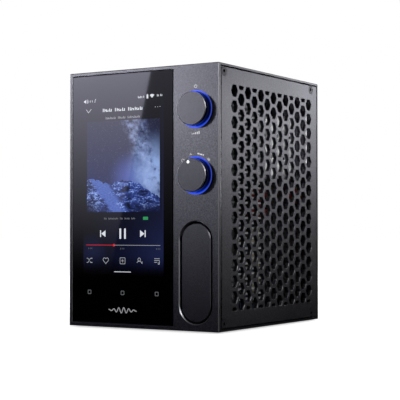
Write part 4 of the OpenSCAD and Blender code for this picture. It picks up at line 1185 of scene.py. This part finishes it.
class PLAYER_OT_knobs(bpy.types.Operator):
    """Turn both knobs and finish their shafts, nuts and light rings"""

    bl_idname = "player.knobs"
    bl_label = "Knobs"

    def execute(self, context):
        tone = colours()
        face = blasted_metal("knob_face", tinted(tone.metal, 0.78), 0.4, 0.35, 1800)
        cut = cut_metal("knob_edge", tinted(tone.cut_metal, 2.4), 0.36)
        side = rolled_metal("knob_side", (0.1, 0.1, 0.11), 0.16, along=1, grain=1500)
        for node, body in (("volume_knob", "volume_turn"), ("selector_knob", "selector_turn")):
            self.turned_knob(node, body, face, cut, side)
        self.pointer()
        coat(rolled_metal("nickel", (0.6, 0.6, 0.62), 0.22), "volume_shaft", "selector_shaft", "shaft_nuts")
        coat(moulded_plastic("dark_plastic", (0.05, 0.05, 0.055), 0.4), "volume_encoder", "selector_switch")
        coat(moulded_plastic("pin_plastic", (0.7, 0.7, 0.7), 0.4), "volume_plunger")
        coat(circuit_board("control_board_mask", BOARD_GREEN, 1), "control_board")
        self.light_rings(tone)
        return {"FINISHED"}

    def turned_knob(self, node, body, face, cut, side):
        """Hollow knob with a hub, a blind bore for its shaft and a groove near its rear edge."""
        low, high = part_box(node)
        r = (high.x - low.x) / 2
        c = sizes().knob_chamfer
        depth = high.y - low.y
        wall, plate, hub, shaft = 1.2 * MM, 1.8 * MM, 4.4 * MM, 3.02 * MM
        socket, hub_end = 2.2 * MM, depth - 1.0 * MM
        groove, groove_floor = depth - 1.7 * MM, r - 0.3 * MM
        face_line = [(0, 0), (r - c - 0.04 * MM, 0), (r - c, 0.02 * MM), (r, c), (r, groove)]
        groove_line = [(groove_floor, groove + 0.2 * MM), (groove_floor, groove + 0.5 * MM)]
        rear_line = [(r, groove + 0.7 * MM), (r, depth), (r - wall, depth), (r - wall, plate)]
        bore_line = [(hub, plate), (hub, hub_end), (shaft, hub_end), (shaft, socket), (0, socket)]
        profile = face_line + groove_line + rear_line + bore_line
        knob = lathe(node + "_turned", front_centre(node), profile)
        smooth_by_angle(knob, 20)
        dress(knob, body, "knob_metal", face, cut, side)
        for polygon in knob.data.polygons:
            tilt = abs(polygon.normal.y)
            is_chamfer = tilt > 0.3 and polygon.center.y < low.y + c
            polygon.material_index = 0 if tilt > 0.9 else 1 if is_chamfer else 2
        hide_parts(node)

    def pointer(self):
        low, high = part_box("selector_pointer")
        r = (high.x - low.x) / 2
        proud, depth = 0.03 * MM, high.y - low.y
        profile = [(0, -proud), (r * 0.6, -proud), (r * 0.92, -proud / 2), (r, 0), (r, depth), (0, depth)]
        dot = lathe("pointer_dot", front_centre("selector_pointer"), profile, steps=48)
        smooth_by_angle(dot)
        white_paint_and_glow = moulded_plastic("pointer_paint_and_painted_glow", (0.9, 0.9, 0.9), 0.35, 3000, 0.00001, 0.04)
        # The white dot is given a faint white glow of its own though it is no lamp: a painted glow on top of
        # its white paint.
        inputs = white_paint_and_glow.node_tree.nodes["Principled BSDF"].inputs
        inputs["Emission Strength"].default_value = 0.25
        inputs["Emission Color"].default_value = (1, 1, 1, 1)
        dress(dot, "selector_turn", "white_plastic", white_paint_and_glow)
        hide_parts("selector_pointer")

    def light_rings(self, tone):
        low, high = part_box("light_rings")
        outer = (high.x - low.x) / 2
        inner = outer - 1.1 * MM
        front = FACE_Y - low.y
        lip = 0.12 * MM
        back = front + 2.8 * MM
        profile = [(inner, front), (inner + lip, 0), (outer - 2 * lip, 0), (outer, 1.4 * lip)]
        profile += [(outer, back), (inner, back)]
        for name, knob in (("volume_ring", VOLUME), ("selector_ring", SELECTOR)):
            guide = lathe(name, (knob.x, low.y, knob.z), profile)
            smooth_by_angle(guide, 25)
            light = glowing_ring(name + "_light", tuple(tone.ring), knob, inner, outer)
            dress(guide, MAIN_BODY, "ring_plastic", light)
        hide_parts("light_rings")


class PLAYER_OT_front_glass(bpy.types.Operator):
    """Finish the front glass and what lies behind it"""

    bl_idname = "player.front_glass"
    bl_label = "Front glass"

    def execute(self, context):
        coat(black_glass("front_glass_polish", tuple(colours().glass)), "cover_glass")
        coat(moulded_plastic("display_module", (0.02, 0.03, 0.06), 0.2), "display_panel")
        coat(circuit_board("touch_board_mask", BOARD_GREEN, 1), "touch_key_board")
        coat(moulded_plastic("antenna_film", (0.03, 0.03, 0.03), 0.5), "wifi_antenna")
        coat(moulded_plastic("ribbon_film", (0.5, 0.24, 0.05), 0.3), "display_ribbon")
        return {"FINISHED"}


class PLAYER_OT_screen(bpy.types.Operator):
    """Draw the generic picture, icons and lines that the screen shows"""

    bl_idname = "player.screen"
    bl_label = "Screen"

    def execute(self, context):
        tone = colours()
        icon = tuple(tone.icon)
        x = SCREEN_X / MM
        self.area("screen_backlight", x, 90.2, 60.2, 113.6, 1, screen_glow)
        self.area("screen_picture", x, 100.4, 54.7, 56.6, 2, night_picture)
        white = lit("icon_light", icon, 0.95)
        soft = lit("soft_icon_light", tinted(icon, 0.42))
        faint = lit("faint_icon_light", tinted(icon, 0.22))
        self.lay("screen_title", self.titles(x), lit("title_light", icon))
        self.lay("screen_subtitle", self.subtitles(x), soft)
        self.lay("screen_status", self.status(x), lit("status_light", tinted(icon, 0.95)))
        self.lay("screen_controls", self.controls(x), white)
        self.lay("screen_progress", [pill(x + 10.7, PROGRESS_ROW, 34.2, 0.28)], soft)
        self.lay("screen_menu", self.menu(x), lit("menu_light", tinted(icon, 0.6)))
        self.lay("screen_faint_marks", self.faint_marks(x), faint)
        self.lay("screen_played", self.played(x), lit("played_light", tuple(tone.accent)))
        badge = [pill(x + 17.0, TRACK_ROW, 3.7, 1.9, 0.4)]
        self.lay("screen_badge", badge, lit("badge_light", (0.03, 0.3, 0.1)))
        # The printed maker's mark gives a grey light of its own instead of reflecting the lamps: a painted
        # glow.
        self.lay("maker_mark", moved(wave_mark(), x, 11.6), lit("maker_mark_ink_painted_glow", (0.32, 0.32, 0.34)))
        return {"FINISHED"}

    def area(self, name, x, z, width, height, layer, make):
        shape = pill(x, z, width, height, 0.3, 2)
        y = GLASS_Y - layer * sizes().lamp
        low = ((x - width / 2) * MM, (z - height / 2) * MM)
        high = ((x + width / 2) * MM, (z + height / 2) * MM)
        piece = plates(name, [shape], y, sizes().lamp * 0.8)
        dress(piece, MAIN_BODY, "screen", make(name + "_light", low, high))

    def lay(self, name, shapes, material):
        piece = plates(name, shapes, GLASS_Y - 3 * sizes().lamp, sizes().lamp * 0.8)
        dress(piece, MAIN_BODY, "screen", material)

    def titles(self, x):
        shapes = words(x - 0.3, TITLE_ROW, 2.1, (7.4, 8.2, 11.2), 1.8)
        return shapes + moved(chevron_icon(), x - 26.2, 135.6) + moved(dots_icon(), x + 25.8, 135.7)

    def subtitles(self, x):
        return words(x - 0.1, SUBTITLE_ROW, 1.5, (8.0, 6.0, 9.6), 1.3)

    def status(self, x):
        left = moved(speaker_icon(), x - 28.3, 141.6) + words(x - 24.2, 141.6, 1.3, (1.1, 1.1), 0.5)
        left += [ribbon([(x - 21.4, 140.6), (x - 21.0, 142.6), (x - 20.5, 142.8)], 0.3)]
        right = words(x + 13.6, 142.3, 1.4, (3.6, 1.0), 0.4) + moved(battery_icon(), x + 18.3, STATUS_ROW)
        right += moved(wireless_icon(), x + 21.7, STATUS_ROW) + words(x + 27.2, 142.7, 1.4, (1.8, 1.9), 0.6)
        return left + right

    def controls(self, x):
        shapes = []
        for i, icon in enumerate((back_icon, pause_icon, forward_icon)):
            shapes += moved(icon(), x + BUTTON_STEP * (i - 1), BUTTON_ROW)
        return shapes + [pill(x, 35.2, 12.7, 0.36)]

    def menu(self, x):
        icons = (shuffle_icon, heart_icon, plus_box_icon, listener_icon, list_icon)
        shapes = []
        for i, icon in enumerate(icons):
            shapes += moved(icon(), x + MENU_STEP * (i - 2), MENU_ROW)
        return shapes

    def faint_marks(self, x):
        shapes = words(x - 2.4, TRACK_ROW, 1.2, (2.2, 7.6, 2.4, 4.0, 3.0), 1.1)
        for place in (-24.7, -0.3, 26.3):
            shapes += words(x + place, DIGITS_ROW, 0.9, (0.8, 0.8, 0.8), 0.4)
        for place in (-25.2, 0, 25.2):
            shapes.append(box_line(x + place, KEY_ROW, 2.5, 0.3, 1.9, 0.1))
        return shapes

    def played(self, x):
        return [pill(x - 17.2, PROGRESS_ROW, 21.3, 0.3), disc(x - 6.6, PROGRESS_ROW, 0.8)]


class PLAYER_OT_front_marks(bpy.types.Operator):
    """Print the marks round the knobs"""

    bl_idname = "player.front_marks"
    bl_label = "Front marks"

    def execute(self, context):
        shapes = moved(power_mark(), VOLUME.x / MM, VOLUME.z / MM + 13.6)
        shapes += moved(level_mark(), VOLUME.x / MM, VOLUME.z / MM - 14.0)
        marks = ((135, headphone_mark), (105, one_line_mark), (75, two_line_mark), (45, both_mark))
        reach = 12.9
        for angle, mark in marks:
            a = math.radians(angle)
            place = (SELECTOR.x / MM + reach * math.cos(a), SELECTOR.z / MM + reach * math.sin(a))
            shapes += moved(mark(), *place, turn=angle - 90, scale=0.85)
        piece = plates("front_marks", shapes, FACE_Y - sizes().ink, sizes().ink * 0.9)
        dress(piece, MAIN_BODY, "white_plastic", print_ink("front_ink"))
        return {"FINISHED"}


class PLAYER_OT_headphone_sockets(bpy.types.Operator):
    """Finish the socket cover and the headphone sockets behind it"""

    bl_idname = "player.headphone_sockets"
    bl_label = "Headphone sockets"

    def execute(self, context):
        tone = colours()
        cover, edge = tinted(tone.metal, 0.92), tinted(tone.cut_metal, 0.6)
        coat(blasted_metal("anodised_cover", cover, 0.45, 0.4, 2200, edge), "socket_cover")
        coat(blasted_metal("socket_plate_coat", (0.03, 0.03, 0.032), 0.5), "socket_plate")
        coat(rolled_metal("magnet_nickel", (0.62, 0.62, 0.64), 0.16), "cover_magnets", "plate_magnets")
        plastic = moulded_plastic("socket_plastic", (0.018, 0.018, 0.019), 0.38)
        coat(plastic, "jack_635", "jack_44", "xlr4_socket")
        return {"FINISHED"}


class PLAYER_OT_rear_connectors(bpy.types.Operator):
    """Finish the rear connectors and print the rear marks"""

    bl_idname = "player.rear_connectors"
    bl_label = "Rear connectors"

    def execute(self, context):
        plastic = moulded_plastic("connector_plastic", (0.016, 0.016, 0.018), 0.36)
        coat(plastic, "xlr3_sockets", "optical_sockets", "dc_socket", "mains_inlet", "rocker_housing",
             "slide_switch_housings")
        coat(moulded_plastic("switch_plastic", (0.01, 0.01, 0.011), 0.22), "power_rocker")
        slider = moulded_plastic("slider_plastic", (0.03, 0.03, 0.032), 0.4)
        coat(slider, "ground_lift_slider", "power_select_slider")
        coat(gold_sockets("gold_plate", mouth_centres("phono_sockets")), "phono_sockets")
        coat(rolled_metal("silver_pins", (0.72, 0.68, 0.56), 0.2, along=1), "xlr3_pins", "mains_pins")
        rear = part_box("usb_b_socket")[1].y
        coat(tinned_shell("tinned_steel", rear), "usb_b_socket", "usb_a_sockets", "lan_socket")
        self.rear_marks()
        return {"FINISHED"}

    def rear_marks(self):
        """Short strokes above the sockets, where a maker would print what each is for."""
        shapes = []
        nodes = ("optical_sockets", "usb_b_socket", "usb_a_sockets", "lan_socket", "dc_socket")
        for node in (*nodes, "slide_switch_housings"):
            low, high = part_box(node)
            shapes += words((low.x + high.x) / 2 / MM, high.z / MM + 2.2, 1.5, (3.4, 2.6), 0.9)
        for mouth in mouth_centres("phono_sockets"):
            shapes += words(mouth.x / MM, mouth.z / MM + 8.0, 1.5, (3.0,), 0.9)
        piece = plates("rear_marks", shapes, BACK_Y + sizes().ink * 0.1, sizes().ink * 0.9)
        dress(piece, MAIN_BODY, "white_plastic", print_ink("rear_ink"))


class PLAYER_OT_inside(bpy.types.Operator):
    """Finish the boards and what they carry"""

    bl_idname = "player.inside"
    bl_label = "Inside"

    def execute(self, context):
        coat(circuit_board("green_mask_rear", BOARD_GREEN, 1), "io_board")
        coat(circuit_board("green_mask_floor", BOARD_GREEN, 2), "power_board")
        coat(circuit_board("dark_mask", (0.012, 0.02, 0.035), 0), "main_board", "amplifier_board")
        coat(rolled_metal("shield_tin", (0.34, 0.345, 0.35), 0.42), "shield_cans")
        film = {"along": 1, "grain": 1600, "bump": 0.00002, "metallic": 0.5}
        coat(rolled_metal("sink_aluminium", (0.5, 0.51, 0.54), 0.45, **film), "heat_sink")
        tops = moulded_plastic("capacitor_tops", (0.85, 0.86, 0.88), 0.35, 900, 0.00002, 0.05)
        coat(tops, "smoothing_capacitors")
        coat(moulded_plastic("film_epoxy", (0.09, 0.008, 0.007), 0.35), "film_capacitors")
        coat(moulded_plastic("relay_shell", (0.2, 0.18, 0.12), 0.4), "relays")
        coat(moulded_plastic("winding_tape", (0.16, 0.1, 0.02), 0.35), "transformer")
        coat(moulded_plastic("capacitor_sleeve", (0.02, 0.025, 0.04), 0.3), "bulk_capacitors")
        return {"FINISHED"}


class PLAYER_PT_panel(bpy.types.Panel):
    """Buttons and settings in the 3D view's sidebar"""

    bl_idname = "PLAYER_PT_panel"
    bl_label = "Desktop audio player"
    bl_space_type = "VIEW_3D"
    bl_region_type = "UI"
    bl_category = "Player"

    def draw(self, context):
        layout = self.layout
        for group in (sizes(), colours(), studio()):
            box = layout.box()
            for key in group.__annotations__:
                box.prop(group, key)
        column = layout.column(align=True)
        for operator in OPERATORS:
            column.operator(operator.bl_idname)


OPERATORS = (
    PLAYER_OT_stage,
    PLAYER_OT_enclosure,
    PLAYER_OT_side_panels,
    PLAYER_OT_front_glass,
    PLAYER_OT_screen,
    PLAYER_OT_knobs,
    PLAYER_OT_front_marks,
    PLAYER_OT_headphone_sockets,
    PLAYER_OT_rear_connectors,
    PLAYER_OT_inside,
)
CLASSES = (PlayerSizes, PlayerColours, PlayerStudio, *OPERATORS, PLAYER_PT_panel)


def register():
    for item in CLASSES:
        bpy.utils.register_class(item)
    bpy.types.Scene.player_sizes = PointerProperty(type=PlayerSizes)
    bpy.types.Scene.player_colours = PointerProperty(type=PlayerColours)
    bpy.types.Scene.player_studio = PointerProperty(type=PlayerStudio)


def unregister():
    del bpy.types.Scene.player_studio
    del bpy.types.Scene.player_colours
    del bpy.types.Scene.player_sizes
    for item in reversed(CLASSES):
        bpy.utils.unregister_class(item)


def main():
    register()
    for operator in OPERATORS:
        category, name = operator.bl_idname.split(".")
        getattr(getattr(bpy.ops, category), name)()


if __name__ == "__main__":
    main()
